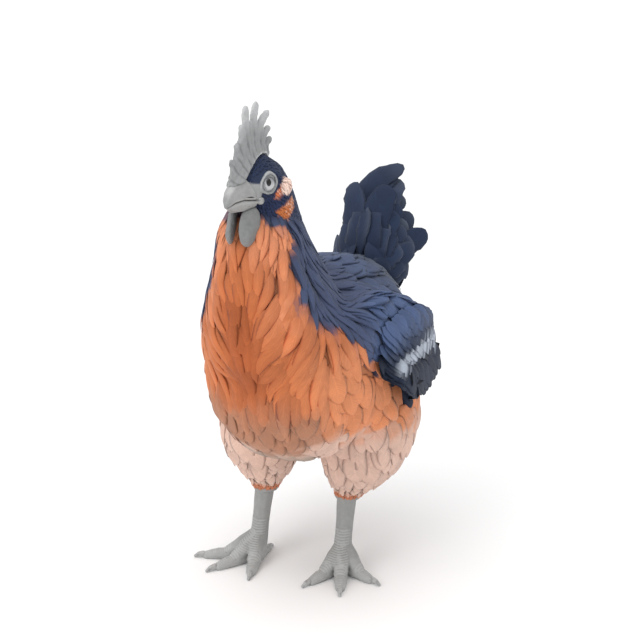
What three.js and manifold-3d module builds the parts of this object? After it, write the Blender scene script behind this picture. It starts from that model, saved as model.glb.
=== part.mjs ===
// A life-size domestic chicken standing on both feet, as a still display model.
// Millimetres, +Z up. The bird faces -Y and its left side is +X. The origin is on the floor,
// at the middle of the bird's footprint box.
import * as THREE from "three";
import { mergeVertices } from "three/addons/utils/BufferGeometryUtils.js";
import Module from "manifold-3d";

const wasm = await Module();
wasm.setup();

// ---------------------------------------------------------------- driving dimensions
const GAP = 0.4; // clear space left where two pieces meet
const LEFT = 1;
const RIGHT = -1;

// The eyes' midpoint, and how the head is turned there.
const HEAD = { at: new THREE.Vector3(-10, -85, 394), turn: THREE.MathUtils.degToRad(-5) };
const EYE = { radius: 6.6, aside: 15, forward: 1 };
// The socket and the ear pad are ellipsoids: half sizes in x, y and z, and the middle's place on the
// left side of the head. The socket faces `ahead` degrees forward.
const SOCKET = { half: [6.5, 9.5, 10.5], at: [23.6, -2, 0], ahead: 14 };
const EAR = { half: [5, 6.5, 8.5], at: [23.5, 18, -5] };
// A wattle hangs from beside the gape: its top, its length, and how far its front edge is splayed.
const WATTLE = { aside: 7.8, behind: -16, below: -18, height: 35, splay: THREE.MathUtils.degToRad(23) };


// The body is drawn about its own middle, and the floor is this much below that frame's zero.
const FLOOR = -8.5;
// The hock is where the feathered leg ends; the ankle is where the toes meet. `fullness` is how far
// the thigh's feathers stand out.
const LEGS = {
  left: { side: LEFT, hip: [50, 38, 190], hock: [29, 28.6, 65.5], ankle: [30, 13.6, 5.5], fullness: 1.05 },
  right: { side: RIGHT, hip: [-52, 32, 190], hock: [-52, 13.6, 65.5], ankle: [-56, 2.6, 5.5], fullness: 1.02 },
};
const SHANK_RADIUS = 6.8;

// Each toe: its direction from straight ahead, outwards positive, in degrees, and its length to the claw.
const TOES = {
  left: { inner: [-22, 42], middle: [22, 42], outer: [73, 38], hind: [174, 20] },
  right: { inner: [-16, 38], middle: [33, 47], outer: [66, 53], hind: [184, 20] },
};
const CLAW_LENGTH = { inner: 10, middle: 11, outer: 10, hind: 8 };
const TOE_CUT = { inner: 20, middle: 20, outer: 20, hind: 12 }; // from the ankle to each toe's cut
const FRONT_TOE = { thick: 5.2, pads: 3, root: 12.5 };
const HIND_TOE = { thick: 4.2, pads: 1, root: 13 };
const FLATNESS = 0.92; // a toe's height as a share of its width
const SINK = 0.7; // how far a toe's pads are flattened on the floor
// The pad under the ankle: half width, half height, and how high its middle is.
const SOLE = { half: 9.6, tall: 8.4, middle: 7.6 };

const FLIGHT_FEATHERS = 5;
const TAIL_PAIRS = 4;
const TAIL_ROOT = new THREE.Vector3(0, 128, 258);

// ---------------------------------------------------------------- shape kit
const point = (x, y, z) => new THREE.Vector3(x, y, z);
const steps = (from, to, count) =>
  Array.from({ length: count }, (_, i) => from + ((to - from) * i) / (count - 1));

// A smooth function through stations [t, value, value, ...], for t inside their span.
function track(...stations) {
  const slope = (i, k) => {
    const a = stations[Math.max(i - 1, 0)];
    const b = stations[Math.min(i + 1, stations.length - 1)];
    return (b[k] - a[k]) / (b[0] - a[0]);
  };
  return (t) => {
    let i = 0;
    while (i < stations.length - 2 && t > stations[i + 1][0]) i += 1;
    const [a, b] = [stations[i], stations[i + 1]];
    const span = b[0] - a[0];
    const s = (t - a[0]) / span;
    return a.slice(1).map((_, n) => {
      const k = n + 1;
      const bend = 3 - 2 * s;
      const ease = s * s * bend;
      const leave = s * (1 - s) * (1 - s) * span * slope(i, k);
      const arrive = s * s * (1 - s) * span * slope(i + 1, k);
      return a[k] + (b[k] - a[k]) * ease + leave - arrive;
    });
  };
}

// A closed skin over rings of points; each end closes on the ring's middle.
function loft(rings) {
  const count = rings[0].length;
  const middle = (ring) =>
    ring.reduce((sum, p) => sum.add(p), new THREE.Vector3()).divideScalar(count);
  const points = [...rings.flat(), middle(rings[0]), middle(rings[rings.length - 1])];
  const index = [];
  for (let row = 0; row < rings.length - 1; row += 1) {
    for (let k = 0; k < count; k += 1) {
      const a = row * count + k;
      const b = row * count + ((k + 1) % count);
      index.push(a, b, b + count, a, b + count, a + count);
    }
  }
  const last = (rings.length - 1) * count;
  for (let k = 0; k < count; k += 1) {
    const next = (k + 1) % count;
    index.push(next, k, points.length - 2);
    index.push(last + k, last + next, points.length - 1);
  }
  return new THREE.BufferGeometry().setFromPoints(points).setIndex(index);
}

// A ring round `centre`: `across` and `up` span its plane; it reaches `half` to both sides,
// `rise` up and `drop` down. A squareness of 2 is an ellipse, and more is boxier.
function ring({ centre, across, up, half, rise, drop = rise, count = 24, squareness = 2 }) {
  return steps(0, 2 * Math.PI, count + 1).slice(0, count).map((angle) => {
    const c = Math.cos(angle);
    const s = Math.sin(angle);
    const u = Math.sign(c) * Math.abs(c) ** (2 / squareness) * half;
    const v = Math.sign(s) * Math.abs(s) ** (2 / squareness) * (s > 0 ? rise : drop);
    return centre.clone().addScaledVector(across, u).addScaledVector(up, v);
  });
}

// A round limb along `path(t)`, t from 0 to 1, with `radius(t)` across and its `tall` share upwards.
function limb({ path, radius, rows, count, tall = 1, up = point(0, 0, 1) }) {
  const rings = steps(0, 1, rows).map((t) => {
    const reach = 0.01;
    const along = path(Math.min(t + reach, 1)).sub(path(Math.max(t - reach, 0))).normalize();
    const across = along.clone().cross(up).normalize();
    const over = across.clone().cross(along);
    const half = radius(t);
    return ring({ centre: path(t), across, up: over, half, rise: half * tall, count });
  });
  return loft(rings);
}

// A feather as a thin slab from `root` to `tip`, `bow` mm off the straight line at its middle,
// with its flat side towards `face`, widest past its middle and round at its tip.
function vane({ root, tip, face, bow, width, thickness, rows }) {
  const along = tip.clone().sub(root).normalize();
  const across = along.clone().cross(face).normalize();
  const out = across.clone().cross(along);
  const widthAt = track([0, 0.5], [0.35, 0.86], [0.7, 1], [0.9, 0.84], [1, 0.5]);
  const rings = steps(0, 1, rows).map((t) => {
    const centre = root.clone().lerp(tip, t).addScaledVector(out, bow * 4 * t * (1 - t));
    const reach = (width / 2) * widthAt(t)[0];
    const corner = (u, v) =>
      centre.clone().addScaledVector(across, u * reach).addScaledVector(out, (v * thickness) / 2);
    return [corner(1, -1), corner(1, 1), corner(-1, 1), corner(-1, -1)];
  });
  return solid(loft(rings));
}

// ---------------------------------------------------------------- solids
// A geometry as a manifold-3d solid with its faces pointing out.
function solid(geometry) {
  const bare = geometry.clone();
  bare.deleteAttribute("normal");
  bare.deleteAttribute("uv");
  const merged = mergeVertices(bare, 1e-4);
  const mesh = new wasm.Mesh({
    numProp: 3,
    vertProperties: merged.attributes.position.array,
    triVerts: new Uint32Array(merged.index.array),
  });
  const made = new wasm.Manifold(mesh);
  if (made.volume() > 0) return made;
  for (let i = 0; i < mesh.triVerts.length; i += 3) {
    [mesh.triVerts[i + 1], mesh.triVerts[i + 2]] = [mesh.triVerts[i + 2], mesh.triVerts[i + 1]];
  }
  return new wasm.Manifold(mesh);
}

const join = (...solids) => solids.reduce((all, next) => all.add(next));
const carve = (from, ...tools) => tools.reduce((left, tool) => left.subtract(tool), from);

// Everything on the side of `at` that `normal` points to.
function beyond({ at, normal }) {
  const size = 2000;
  const block = new THREE.BoxGeometry(size, size, size).translate(0, 0, size / 2);
  const side = normal.clone().normalize();
  const turn = new THREE.Quaternion().setFromUnitVectors(point(0, 0, 1), side);
  return solid(block.applyQuaternion(turn).translate(at.x, at.y, at.z));
}

// Parts a solid in two at a plane, with GAP between them.
function part({ whole, at, normal }) {
  const side = normal.clone().normalize();
  const shift = side.clone().multiplyScalar(GAP / 2);
  const front = whole.intersect(beyond({ at: at.clone().add(shift), normal: side }));
  const back = whole.intersect(beyond({ at: at.clone().sub(shift), normal: side.clone().negate() }));
  return [front, back];
}

// The largest separate body of a solid, without the crumbs that a cut can leave.
function biggest(made) {
  return made.decompose().reduce((a, b) => (a.volume() > b.volume() ? a : b));
}

// Where the body is parted: a point on each cut, and the way to the first piece it gives.
const CUTS = {
  shoulders: { at: point(0, -20, 304), normal: point(0, -0.41, 0.91) },
  nape: { at: point(-12, -62, 372), normal: point(0, -0.55, 1) },
  bill: { at: HEAD.at.clone().add(point(0, -15, -8)), normal: point(-0.08, -0.94, -0.34) },
  rump: { at: point(0, 128, 258), normal: point(0, 0.94, 0.34) },
  leftGroin: { at: point(28, 20, 108), normal: point(0.57, 0, -0.82) },
  rightGroin: { at: point(-28, 10, 108), normal: point(-0.57, 0, -0.82) },
  hocks: { at: point(0, 0, 65.5), normal: point(0, 0, 1) },
  ankles: { at: point(0, 0, 17.5), normal: point(0, 0, 1) },
};

// ---------------------------------------------------------------- materials
const material = (color, roughness) =>
  new THREE.MeshStandardMaterial({ color, roughness, metalness: 0 });
const finish = {
  navy: material(0x46526e, 0.7),
  slate: material(0x343f50, 0.7),
  orange: material(0xc47a4e, 0.75),
  cream: material(0xd6b8a8, 0.8),
  bare: material(0x979797, 0.6),
  horn: material(0xa2a2a0, 0.45),
  claw: material(0x8f8f8d, 0.4),
  eye: material(0x777a7a, 0.15),
};

const chicken = new THREE.Group();
function add(name, made, look) {
  const mesh = biggest(made).getMesh();
  const geometry = new THREE.BufferGeometry()
    .setAttribute("position", new THREE.BufferAttribute(Float32Array.from(mesh.vertProperties), 3))
    .setIndex(new THREE.BufferAttribute(Uint32Array.from(mesh.triVerts), 1));
  geometry.computeVertexNormals();
  const node = new THREE.Mesh(geometry, look);
  node.name = name;
  chicken.add(node);
}

// ---------------------------------------------------------------- trunk and neck
// Along the trunk, from the breast to the rump: top and bottom height, height of the widest
// level, and half width there.
const trunkAt = track(
  [-114, 246, 208, 228, 16],
  [-104, 272, 172, 226, 44],
  [-84, 293, 147, 220, 62],
  [-50, 303, 128, 214, 76],
  [-10, 306, 121, 210, 83],
  [35, 304, 122, 208, 85],
  [75, 297, 132, 208, 79],
  [105, 287, 152, 214, 63],
  [132, 275, 192, 234, 37],
  [148, 265, 226, 246, 16],
);

function trunk() {
  const rows = [-114, -107, -94, -70, -36, 2, 40, 74, 104, 130, 148];
  return solid(
    loft(
      rows.map((y) => {
        const [top, bottom, level, width] = trunkAt(y);
        return ring({
          centre: point(0, y, level),
          across: point(1, 0, 0),
          up: point(0, 0, 1),
          half: width,
          rise: top - level,
          drop: level - bottom,
          count: 18,
          squareness: 2.1,
        });
      }),
    ),
  );
}

// Up the neck, from the breast to the skull: the middle's x and y, half width, reach to the
// front and reach to the back. The hackle cape is part of it.
const neckAt = track(
  [208, 0, -44, 56, 58, 42],
  [226, 0, -46, 71, 73, 52],
  [250, -1, -48, 74, 77, 58],
  [275, -4, -52, 66.5, 74, 60],
  [300, -7, -57, 55, 67, 56],
  [322, -8, -61, 47, 59, 48],
  [342, -9, -64, 40, 45, 41],
  [360, -10, -66, 34, 33, 37],
  [376, -10, -67, 29.5, 27, 33],
  [388, -10, -67, 25, 25, 29],
  [399, -10, -63, 17, 18, 22],
);

function neck(grow = 0) {
  const rows = [208, 217, 236, 262, 290, 315, 338, 358, 376, 388, 399];
  return solid(
    loft(
      rows.map((z) => {
        const [x, y, width, front, back] = neckAt(z);
        return ring({
          centre: point(x, y, z),
          across: point(1, 0, 0),
          up: point(0, -1, 0),
          half: width + grow,
          rise: front + grow,
          drop: back + grow,
          count: 16,
        });
      }),
    ),
  );
}

// ---------------------------------------------------------------- head
// The head is drawn in its own frame: the eyes' midpoint is 0, -Y is forward.
const headFrame = new THREE.Matrix4().makeRotationZ(HEAD.turn).setPosition(HEAD.at);
const onHead = (geometry) => solid(geometry.clone().applyMatrix4(headFrame));

// A loft from front to back in the head's frame; `at(y)` gives top, bottom, widest level and half width.
function headLoft({ at, from, to, rows, count, grow = 0 }) {
  return onHead(
    loft(
      steps(from, to, rows).map((y, i) => {
        const [top, bottom, level, width] = at(y);
        const end = i === 0 ? -grow : i === rows - 1 ? grow : 0;
        return ring({
          centre: point(0, y + end * Math.sign(to - from), level),
          across: point(1, 0, 0),
          up: point(0, 0, 1),
          half: width + grow,
          rise: top - level + grow,
          drop: level - bottom + grow,
          count,
        });
      }),
    ),
  );
}

// From the lores to the nape.
const skullAt = track(
  [-27, 4, -14, -6, 7],
  [-20, 9.5, -18, -6, 11.5],
  [-12, 15, -22, -5, 16],
  [-5, 20, -25, -3, 20.5],
  [2, 23, -27, -3, 22.3],
  [12, 23.5, -29, -5, 22.5],
  [24, 17, -32, -9, 21],
  [36, 5, -34, -14, 17],
  [43, -5, -30, -17, 11],
);
const skull = (grow = 0) => headLoft({ at: skullAt, from: -27, to: 43, rows: 9, count: 14, grow });

// From the tip to the gape.
const billAt = track(
  [-41, -13.6, -16.8, -15.2, 0.9],
  [-38.6, -7.8, -18.4, -13, 3.6],
  [-35, -1.6, -20, -11.5, 6.2],
  [-29.5, 3.2, -21, -11, 9],
  [-22, 5.4, -21.8, -11, 11.7],
  [-14, 6, -22.4, -11, 13.6],
  [-8, 6, -22, -11, 14],
);
const bill = (grow = 0) => headLoft({ at: billAt, from: -41, to: -8, rows: 8, count: 12, grow });

// Everything below the mouth line, `under` mm lower down.
const mouthAt = track([0, -12], [14, -12.6], [28, -13.4], [34, -14.6], [38, -16.2], [42, -19], [56, -30]);
function belowMouth(under) {
  const deep = -60;
  const wide = 30;
  return onHead(
    loft(
      [0, 12, 22, 30, 36, 42, 56].map((forward) => {
        const level = mouthAt(forward)[0] - under;
        return [
          point(wide, -forward, level),
          point(-wide, -forward, level),
          point(-wide, -forward, deep),
          point(wide, -forward, deep),
        ];
      }),
    ),
  );
}

function eyeball(side, grow = 0) {
  return onHead(
    new THREE.SphereGeometry(EYE.radius + grow, 8, 6)
      .rotateZ(Math.PI / 2)
      .translate(side * EYE.aside, -EYE.forward, 0),
  );
}

// An ellipsoid on one side of the head, `grow` mm larger all round.
function headBlob({ half, at: [x, y, z], ahead = 0 }, side, grow = 0) {
  return onHead(
    new THREE.SphereGeometry(1, 8, 6)
      .rotateZ(Math.PI / 2)
      .scale(...half.map((size) => size + grow))
      .rotateZ(THREE.MathUtils.degToRad(-side * ahead))
      .translate(side * x, y, z),
  );
}

// The hollow that the eye looks out of, between brow and cheek.
const socket = (side) => headBlob(SOCKET, side);
// The ear is a low oval pad behind the eye.
const earPad = (side, grow = 0) => headBlob(EAR, side, grow);

// The comb is a blade along the skull's top with pointed fingers. Each finger: where its base and
// tip stand, forward of the eyes and up from them, its lean to the left, and its half length at the base.
const FINGERS = [
  { base: 27, tip: [32, 23], lean: 0, reach: 4.5 },
  { base: 20, tip: [24, 36], lean: 1, reach: 4.5 },
  { base: 13, tip: [16, 49], lean: 0, reach: 4.5 },
  { base: 8, tip: [10, 62], lean: 1, reach: 5.5 },
  { base: -2, tip: [-8, 62], lean: 0, reach: 5.5 },
  { base: -10, tip: [-19, 55], lean: 4, reach: 5 },
  { base: -15, tip: [-23, 42], lean: 3, reach: 4.5 },
  { base: -20, tip: [-28, 32], lean: 1, reach: 4.5 },
];
// The blade's foot, its top between the fingers, and half thickness at the foot.
const combFootAt = track([-24, 18, 4.5], [-12, 20, 5.5], [0, 17, 6.5], [12, 10, 7.5], [22, 2, 8], [32, -2, 6]);
const combTopAt = track([-24, 29], [-12, 43], [0, 50], [12, 45], [22, 30], [32, 12]);

function combBlade() {
  const [back, front] = [-25, 32];
  return onHead(
    loft(
      steps(back, front, 7).map((forward) => {
        const [foot, thick] = combFootAt(forward);
        const top = combTopAt(forward)[0];
        const ends = Math.min(1, 0.4 + Math.min(forward - back, front - forward) / 9);
        const level = (share) => foot + (top - foot) * share;
        const profile = [[0, 0.7], [0.15, 1], [0.45, 0.58], [1, 0.25]];
        const near = profile.map(([up, out]) => point(thick * out * ends, -forward, level(up)));
        const far = profile.map(([up, out]) => point(-thick * out * ends, -forward, level(up)));
        return [...near, ...far.reverse()];
      }),
    ),
  );
}

function combFinger({ base, tip, lean, reach }) {
  const low = combTopAt(base)[0] - 7;
  const from = point(0, -base, low);
  const to = point(lean, -tip[0], tip[1]);
  const bend = point(0, -base - (tip[0] - base) * 0.25, low + (tip[1] - low) * 0.6);
  const line = new THREE.QuadraticBezierCurve3(from, bend, to);
  const thin = track([0, 1], [0.5, 0.76], [0.85, 0.5], [1, 0.25]);
  return onHead(
    loft(
      steps(0, 1, 3).map((t) => {
        const along = line.getTangent(t);
        const over = point(1, 0, 0).cross(along).normalize();
        return ring({
          centre: line.getPoint(t),
          across: over.clone().cross(along).normalize(),
          up: over,
          half: 3.2 * thin(t)[0],
          rise: reach * thin(t)[0],
          count: 5,
        });
      }),
    ),
  );
}

// A wattle is a flat drop, from its thin top to its full round foot.
function wattle(side) {
  const halfAt = track([0, 6], [0.15, 10.5], [0.5, 13.6], [0.8, 12.4], [0.93, 8.5], [1, 3]);
  const { aside, behind, below, height, splay } = WATTLE;
  const across = point(side * Math.sin(splay), Math.cos(splay), 0);
  const out = point(side * Math.cos(splay), -Math.sin(splay), 0);
  return onHead(
    loft(
      [0, 0.25, 0.55, 0.83, 1].map((t) => {
        const hang = 2.4 * Math.sin(0.6 * Math.PI * t);
        return ring({
          centre: point(side * (aside + hang), behind - 2 * t, below - height * t),
          across,
          up: out,
          half: halfAt(t)[0],
          rise: 2.2 + 0.7 * Math.sin(Math.PI * t),
          count: 8,
        });
      }),
    ),
  );
}

// ---------------------------------------------------------------- legs and feet
// Down the thigh: half width, reach forward and reach back.
const thighAt = track(
  [0, 38, 58, 64],
  [0.25, 41, 52, 66],
  [0.5, 41, 43, 64],
  [0.68, 37, 33, 57],
  [0.79, 31, 24, 49],
  [0.88, 22, 16.5, 33],
  [0.95, 13.5, 11, 16.5],
  [1, 9.6, 9, 10],
);

function thigh({ side, hip, hock, fullness }) {
  const from = point(...hip);
  const to = point(...hock);
  return solid(
    loft(
      [0, 0.2, 0.4, 0.58, 0.72, 0.84, 0.93, 1].map((t) => {
        const [width, front, back] = thighAt(t).map((size) => size * fullness);
        const bulge = point(side * 8 * Math.sin(Math.PI * t), 0, 0);
        return ring({
          centre: from.clone().lerp(to, t).add(bulge),
          across: point(1, 0, 0),
          up: point(0, -1, 0),
          half: width,
          rise: front,
          drop: back,
          count: 14,
        });
      }),
    ),
  );
}

const shankAt = track([0, 1.2], [0.2, 1.12], [0.5, 1], [0.8, 1.04], [1, 1.2]);
function shank({ hock, ankle }) {
  const line = new THREE.LineCurve3(point(...hock).add(point(0, 1, 12)), point(...ankle));
  return solid(
    limb({
      path: (t) => line.getPoint(t),
      radius: (t) => SHANK_RADIUS * shankAt(t)[0],
      rows: 4,
      count: 8,
      up: point(0, 1, 0),
    }),
  );
}

// The sole's pad under the ankle.
function pad({ ankle: [x, y] }) {
  const ball = new THREE.SphereGeometry(1, 7, 4).scale(SOLE.half, SOLE.half, SOLE.tall);
  return solid(ball.translate(x, y - 2, FLOOR + SOLE.middle));
}

// A toe is thick at its joints' pads, thinner towards its end and raised at its root.
// `shape(more)` is `more` mm larger all round.
function toe(leg, name, [angle, length]) {
  const turn = THREE.MathUtils.degToRad(angle);
  const direction = point(leg.side * Math.sin(turn), -Math.cos(turn), 0);
  const start = point(leg.ankle[0], leg.ankle[1], FLOOR);
  const { thick, pads, root } = name === "hind" ? HIND_TOE : FRONT_TOE;
  const tipFrom = 0.9;
  const rootTo = 0.42;
  const radius = (t) => {
    const taper = 1.12 - 0.3 * t;
    const swell = 0.075 * Math.cos(2 * Math.PI * (pads * t - 0.35));
    const end = t > tipFrom ? 1 - 2.2 * (t - tipFrom) : 1;
    return thick * (taper + swell) * end;
  };
  const lift = (t) => {
    const rest = radius(t) * FLATNESS - SINK;
    const share = Math.max(0, 1 - t / rootTo);
    return rest + Math.max(0, root - rest) * share * share;
  };
  const place = (t) => start.clone().addScaledVector(direction, length * t).setZ(FLOOR + lift(t));
  const shape = (more) =>
    solid(
      limb({
        path: (t) => place(t * (1 + more / length)),
        radius: (t) => radius(t) + more,
        rows: 5,
        count: 6,
        tall: FLATNESS,
      }),
    );
  return { direction, start, length, radius, lift, shape };
}

// A claw grows from inside the toe's end, arches a little and comes down blunt.
function claw({ direction, start, length, radius, lift, shape }, reach) {
  const inside = 3;
  const base = lift(1) + 0.6;
  const blunt = 1.3;
  const place = (t) =>
    start
      .clone()
      .addScaledVector(direction, length - inside + (reach + inside) * t)
      .setZ(FLOOR + base + 1.6 * Math.sin(Math.PI * t) - (base - blunt) * t * t);
  const size = track([0, 0.66], [0.4, 0.56], [0.75, 0.34], [1, 0.1]);
  const horn = solid(
    limb({ path: place, radius: (t) => radius(1) * size(t)[0], rows: 4, count: 5, tall: 1.1 }),
  );
  return horn.subtract(shape(GAP));
}

// ---------------------------------------------------------------- wings
// Along the folded wing, from shoulder to tips: y, height of its middle, half height, the outer
// face's distance from the middle of the body, and half thickness.
const wingAt = track(
  [0, -58, 256, 12, 72, 8],
  [0.12, -44, 254, 28, 81, 20],
  [0.32, -12, 246, 42, 89, 25],
  [0.52, 28, 231, 48, 94, 23],
  [0.7, 60, 214, 49, 94, 17],
  [0.84, 86, 203, 41, 90, 11],
  [0.94, 104, 195, 29, 86, 7],
  [1, 113, 189, 17, 83, 4],
);

function wingArm(side, grow) {
  return solid(
    loft(
      steps(0, 1, 9).map((t) => {
        const [y, z, tall, out, thick] = wingAt(t);
        return ring({
          centre: point(side * (out - thick), y + grow * (2 * t - 1), z),
          across: point(side, 0, 0),
          up: point(0, 0.12, 1).normalize(),
          half: thick + grow,
          rise: tall + grow,
          count: 12,
          squareness: 2.3,
        });
      }),
    ),
  );
}

// The ends of the flight feathers fan from under the wing, from its low front to its high back.
function flightFeathers(side, grow) {
  return steps(0, 1, FLIGHT_FEATHERS).map((t) => {
    const root = point(side * (92 - 4 * t), -6 + 64 * t, 216 - 6 * t);
    const tip = point(side * (97 - 6 * t), 20 + 84 * t, 184 - 36 * t * (1 - t));
    const face = point(side, 0.1, 0);
    return vane({ root, tip, face, bow: 2, width: 27 + 2 * grow, thickness: 2.6 + 2 * grow, rows: 4 });
  });
}

const wing = (side, grow = 0) => join(wingArm(side, grow), ...flightFeathers(side, grow));

// ---------------------------------------------------------------- tail
// The tail feathers stand in pairs like a steep roof. From the highest pair to the lowest: the
// angle up from level, the length, and how far the tip is from the middle.
const tailFanAt = track(
  [0, 59, 118, 4],
  [0.33, 54, 102, 13],
  [0.67, 34, 84, 21],
  [1, 6, 58, 27],
);
function tailFeathers(side) {
  return steps(0, 1, TAIL_PAIRS).map((t) => {
    const [angle, length, aside] = tailFanAt(t);
    const lift = THREE.MathUtils.degToRad(angle);
    const reach = point(side * aside, length * Math.cos(lift), length * Math.sin(lift));
    const root = TAIL_ROOT.clone().add(point(side * (2 + 12 * t), 8, 6 - 14 * t));
    const tip = TAIL_ROOT.clone().add(reach);
    return vane({ root, tip, face: point(side, -0.25, 0.1), bow: 3, width: 40, thickness: 2, rows: 4 });
  });
}

// Coverts stand over the sides of the fan and close its front: each pair's tip, width and facing.
const TAIL_COVERTS = [
  { tip: [6, 162, 352], width: 36, face: [0.2, -1, 0.3] },
  { tip: [22, 142, 334], width: 36, face: [0.8, -1, 0.3] },
  { tip: [30, 160, 282], width: 40, face: [1, -0.3, 0.2] },
];
function tailCoverts(side) {
  return TAIL_COVERTS.map(({ tip: [x, y, z], width, face: [a, b, c] }) => {
    const root = point(side * 10, 132, 260);
    const tip = point(side * x, y, z);
    return vane({ root, tip, face: point(side * a, b, c), bow: 4, width, thickness: 2.2, rows: 4 });
  });
}

// The fleshy root of the tail inside the coverts: half width, rise and drop.
const tailRootAt = track([0, 30, 24, 26], [0.4, 27, 34, 22], [0.75, 17, 34, 14], [1, 5, 12, 5]);
function tailFlesh() {
  return solid(
    loft(
      steps(0, 1, 5).map((t) => {
        const [width, rise, drop] = tailRootAt(t);
        return ring({
          centre: point(0, 118 + 50 * t, 250 + 26 * t),
          across: point(1, 0, 0),
          up: point(0, -0.35, 1).normalize(),
          half: width,
          rise,
          drop,
          count: 12,
        });
      }),
    ),
  );
}

// ---------------------------------------------------------------- assembly
// The flesh is made whole and parted by thin plane cuts.
const sides = { left: LEFT, right: RIGHT };
const bothSides = (make) => [make(LEFT), make(RIGHT)];

const [beak, face] = part({ whole: join(skull(), bill()), ...CUTS.bill });
const beakSpace = join(skull(GAP), bill(GAP)).intersect(beyond(CUTS.bill));
const feathered = join(
  trunk(),
  neck(),
  face,
  thigh(LEGS.left),
  thigh(LEGS.right),
  tailFlesh(),
  ...bothSides(tailFeathers).flat(),
  ...bothSides(tailCoverts).flat(),
);
const shaped = carve(
  feathered,
  beakSpace,
  ...bothSides((side) => wing(side, GAP)),
  ...bothSides(socket),
  ...bothSides((side) => eyeball(side, GAP)),
  ...bothSides((side) => earPad(side, GAP)),
);

const [foreParts, restOfBody] = part({ whole: shaped, ...CUTS.shoulders });
const [headPiece, neckPiece] = part({ whole: foreParts, ...CUTS.nape });
const [tailPiece, tailless] = part({ whole: restOfBody, ...CUTS.rump });
const [leftThigh, oneThigh] = part({ whole: tailless, ...CUTS.leftGroin });
const [rightThigh, trunkPiece] = part({ whole: oneThigh, ...CUTS.rightGroin });

add("trunk", trunkPiece, finish.orange);
add("neck", neckPiece, finish.navy);
add("head", headPiece, finish.navy);
add("tail", tailPiece, finish.slate);
add("thigh_left", leftThigh, finish.cream);
add("thigh_right", rightThigh, finish.cream);
add("beak_upper", beak.subtract(belowMouth(0)), finish.horn);
add("beak_lower", beak.intersect(belowMouth(GAP)), finish.horn);
add("comb", carve(join(combBlade(), ...FINGERS.map(combFinger)), skull(GAP), bill(GAP)), finish.bare);

for (const [name, side] of Object.entries(sides)) {
  add(`wing_${name}`, wing(side), finish.navy);
  add(`eye_${name}`, eyeball(side), finish.eye);
  add(`ear_${name}`, earPad(side), finish.cream);
  add(`wattle_${name}`, carve(wattle(side), skull(GAP), bill(GAP), neck(GAP)), finish.bare);
}

for (const [name, leg] of Object.entries(LEGS)) {
  const toes = Object.entries(TOES[name]).map(([toeName, size]) => {
    const shape = toe(leg, toeName, size);
    const at = shape.start.clone().addScaledVector(shape.direction, TOE_CUT[toeName]);
    const [free, root] = part({ whole: shape.shape(0), at, normal: shape.direction });
    return { toeName, shape, free, root };
  });
  const floor = beyond({ at: point(0, 0, FLOOR), normal: point(0, 0, 1) });
  const lower = join(shank(leg), pad(leg), ...toes.map(({ root }) => root)).intersect(floor);
  const [upper, footPiece] = part({ whole: lower, ...CUTS.ankles });
  const [, shankPiece] = part({ whole: upper, ...CUTS.hocks });
  add(`shank_${name}`, shankPiece, finish.bare);
  add(`foot_${name}`, footPiece, finish.bare);
  for (const { toeName, shape, free } of toes) {
    add(`toe_${name}_${toeName}`, free.intersect(floor), finish.bare);
    add(`claw_${name}_${toeName}`, claw(shape, CLAW_LENGTH[toeName]).intersect(floor), finish.claw);
  }
}

// The origin goes to the floor, under the middle of the whole bird.
const box = new THREE.Box3().setFromObject(chicken);
const middle = box.getCenter(new THREE.Vector3());
for (const node of chicken.children) node.geometry.translate(-middle.x, -middle.y, -box.min.z);

export default chicken;
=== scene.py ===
# A life-size domestic chicken in full plumage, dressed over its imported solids.
import math

import bpy
import numpy as np
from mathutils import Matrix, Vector
from mathutils.bvhtree import BVHTree


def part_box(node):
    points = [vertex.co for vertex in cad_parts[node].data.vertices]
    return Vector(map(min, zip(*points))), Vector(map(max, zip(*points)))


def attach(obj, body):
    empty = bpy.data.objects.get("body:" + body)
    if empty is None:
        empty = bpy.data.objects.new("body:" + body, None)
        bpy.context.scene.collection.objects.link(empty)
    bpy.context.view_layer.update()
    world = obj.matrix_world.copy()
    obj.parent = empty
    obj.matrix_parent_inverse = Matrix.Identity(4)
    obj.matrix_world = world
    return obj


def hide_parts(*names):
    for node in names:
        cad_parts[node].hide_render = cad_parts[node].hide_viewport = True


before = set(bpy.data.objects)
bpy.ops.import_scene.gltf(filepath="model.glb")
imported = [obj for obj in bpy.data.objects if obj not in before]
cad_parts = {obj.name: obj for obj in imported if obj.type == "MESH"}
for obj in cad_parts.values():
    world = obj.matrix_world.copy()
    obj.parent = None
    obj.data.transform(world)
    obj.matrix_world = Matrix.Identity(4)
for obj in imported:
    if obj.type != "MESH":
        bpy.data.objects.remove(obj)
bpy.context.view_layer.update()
rng = np.random.default_rng(7)

# ---------------------------------------------------------------- the bird's own frame
# All shapes are worked out in the bird's own frame, in mm: x = 0 is the middle of the trunk,
# the bird faces -y, its left side is +x, and FLOOR is the floor's height.
MM = 0.001
FLOOR = -8.5
HEAD_AT = np.array([-10.0, -85.0, 394.0])  # between the eyes
HEAD_TURN = math.radians(-5)
EYES_IN_FRAME = np.array([-10.09, -86.0, 394.0])
SIDES = {"left": 1, "right": -1}
TOES = ("inner", "middle", "outer", "hind")


def middle(node):
    """The middle of a node's box in the world, in metres."""
    low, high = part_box(node)
    return (np.array(low) + np.array(high)) / 2


SHIFT = (middle("eye_left") + middle("eye_right")) / 2 / MM - EYES_IN_FRAME


def to_world(points):
    return (np.asarray(points) + SHIFT) * MM


def from_world(points):
    return np.asarray(points) / MM - SHIFT


def spun(points, angle):
    """The points turned about z."""
    x, y, z = np.moveaxis(np.asarray(points, float), -1, 0)
    c, s = math.cos(angle), math.sin(angle)
    return np.stack([c * x - s * y, s * x + c * y, z], -1)


def to_head(points):
    return spun(np.asarray(points) - HEAD_AT, -HEAD_TURN)


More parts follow.
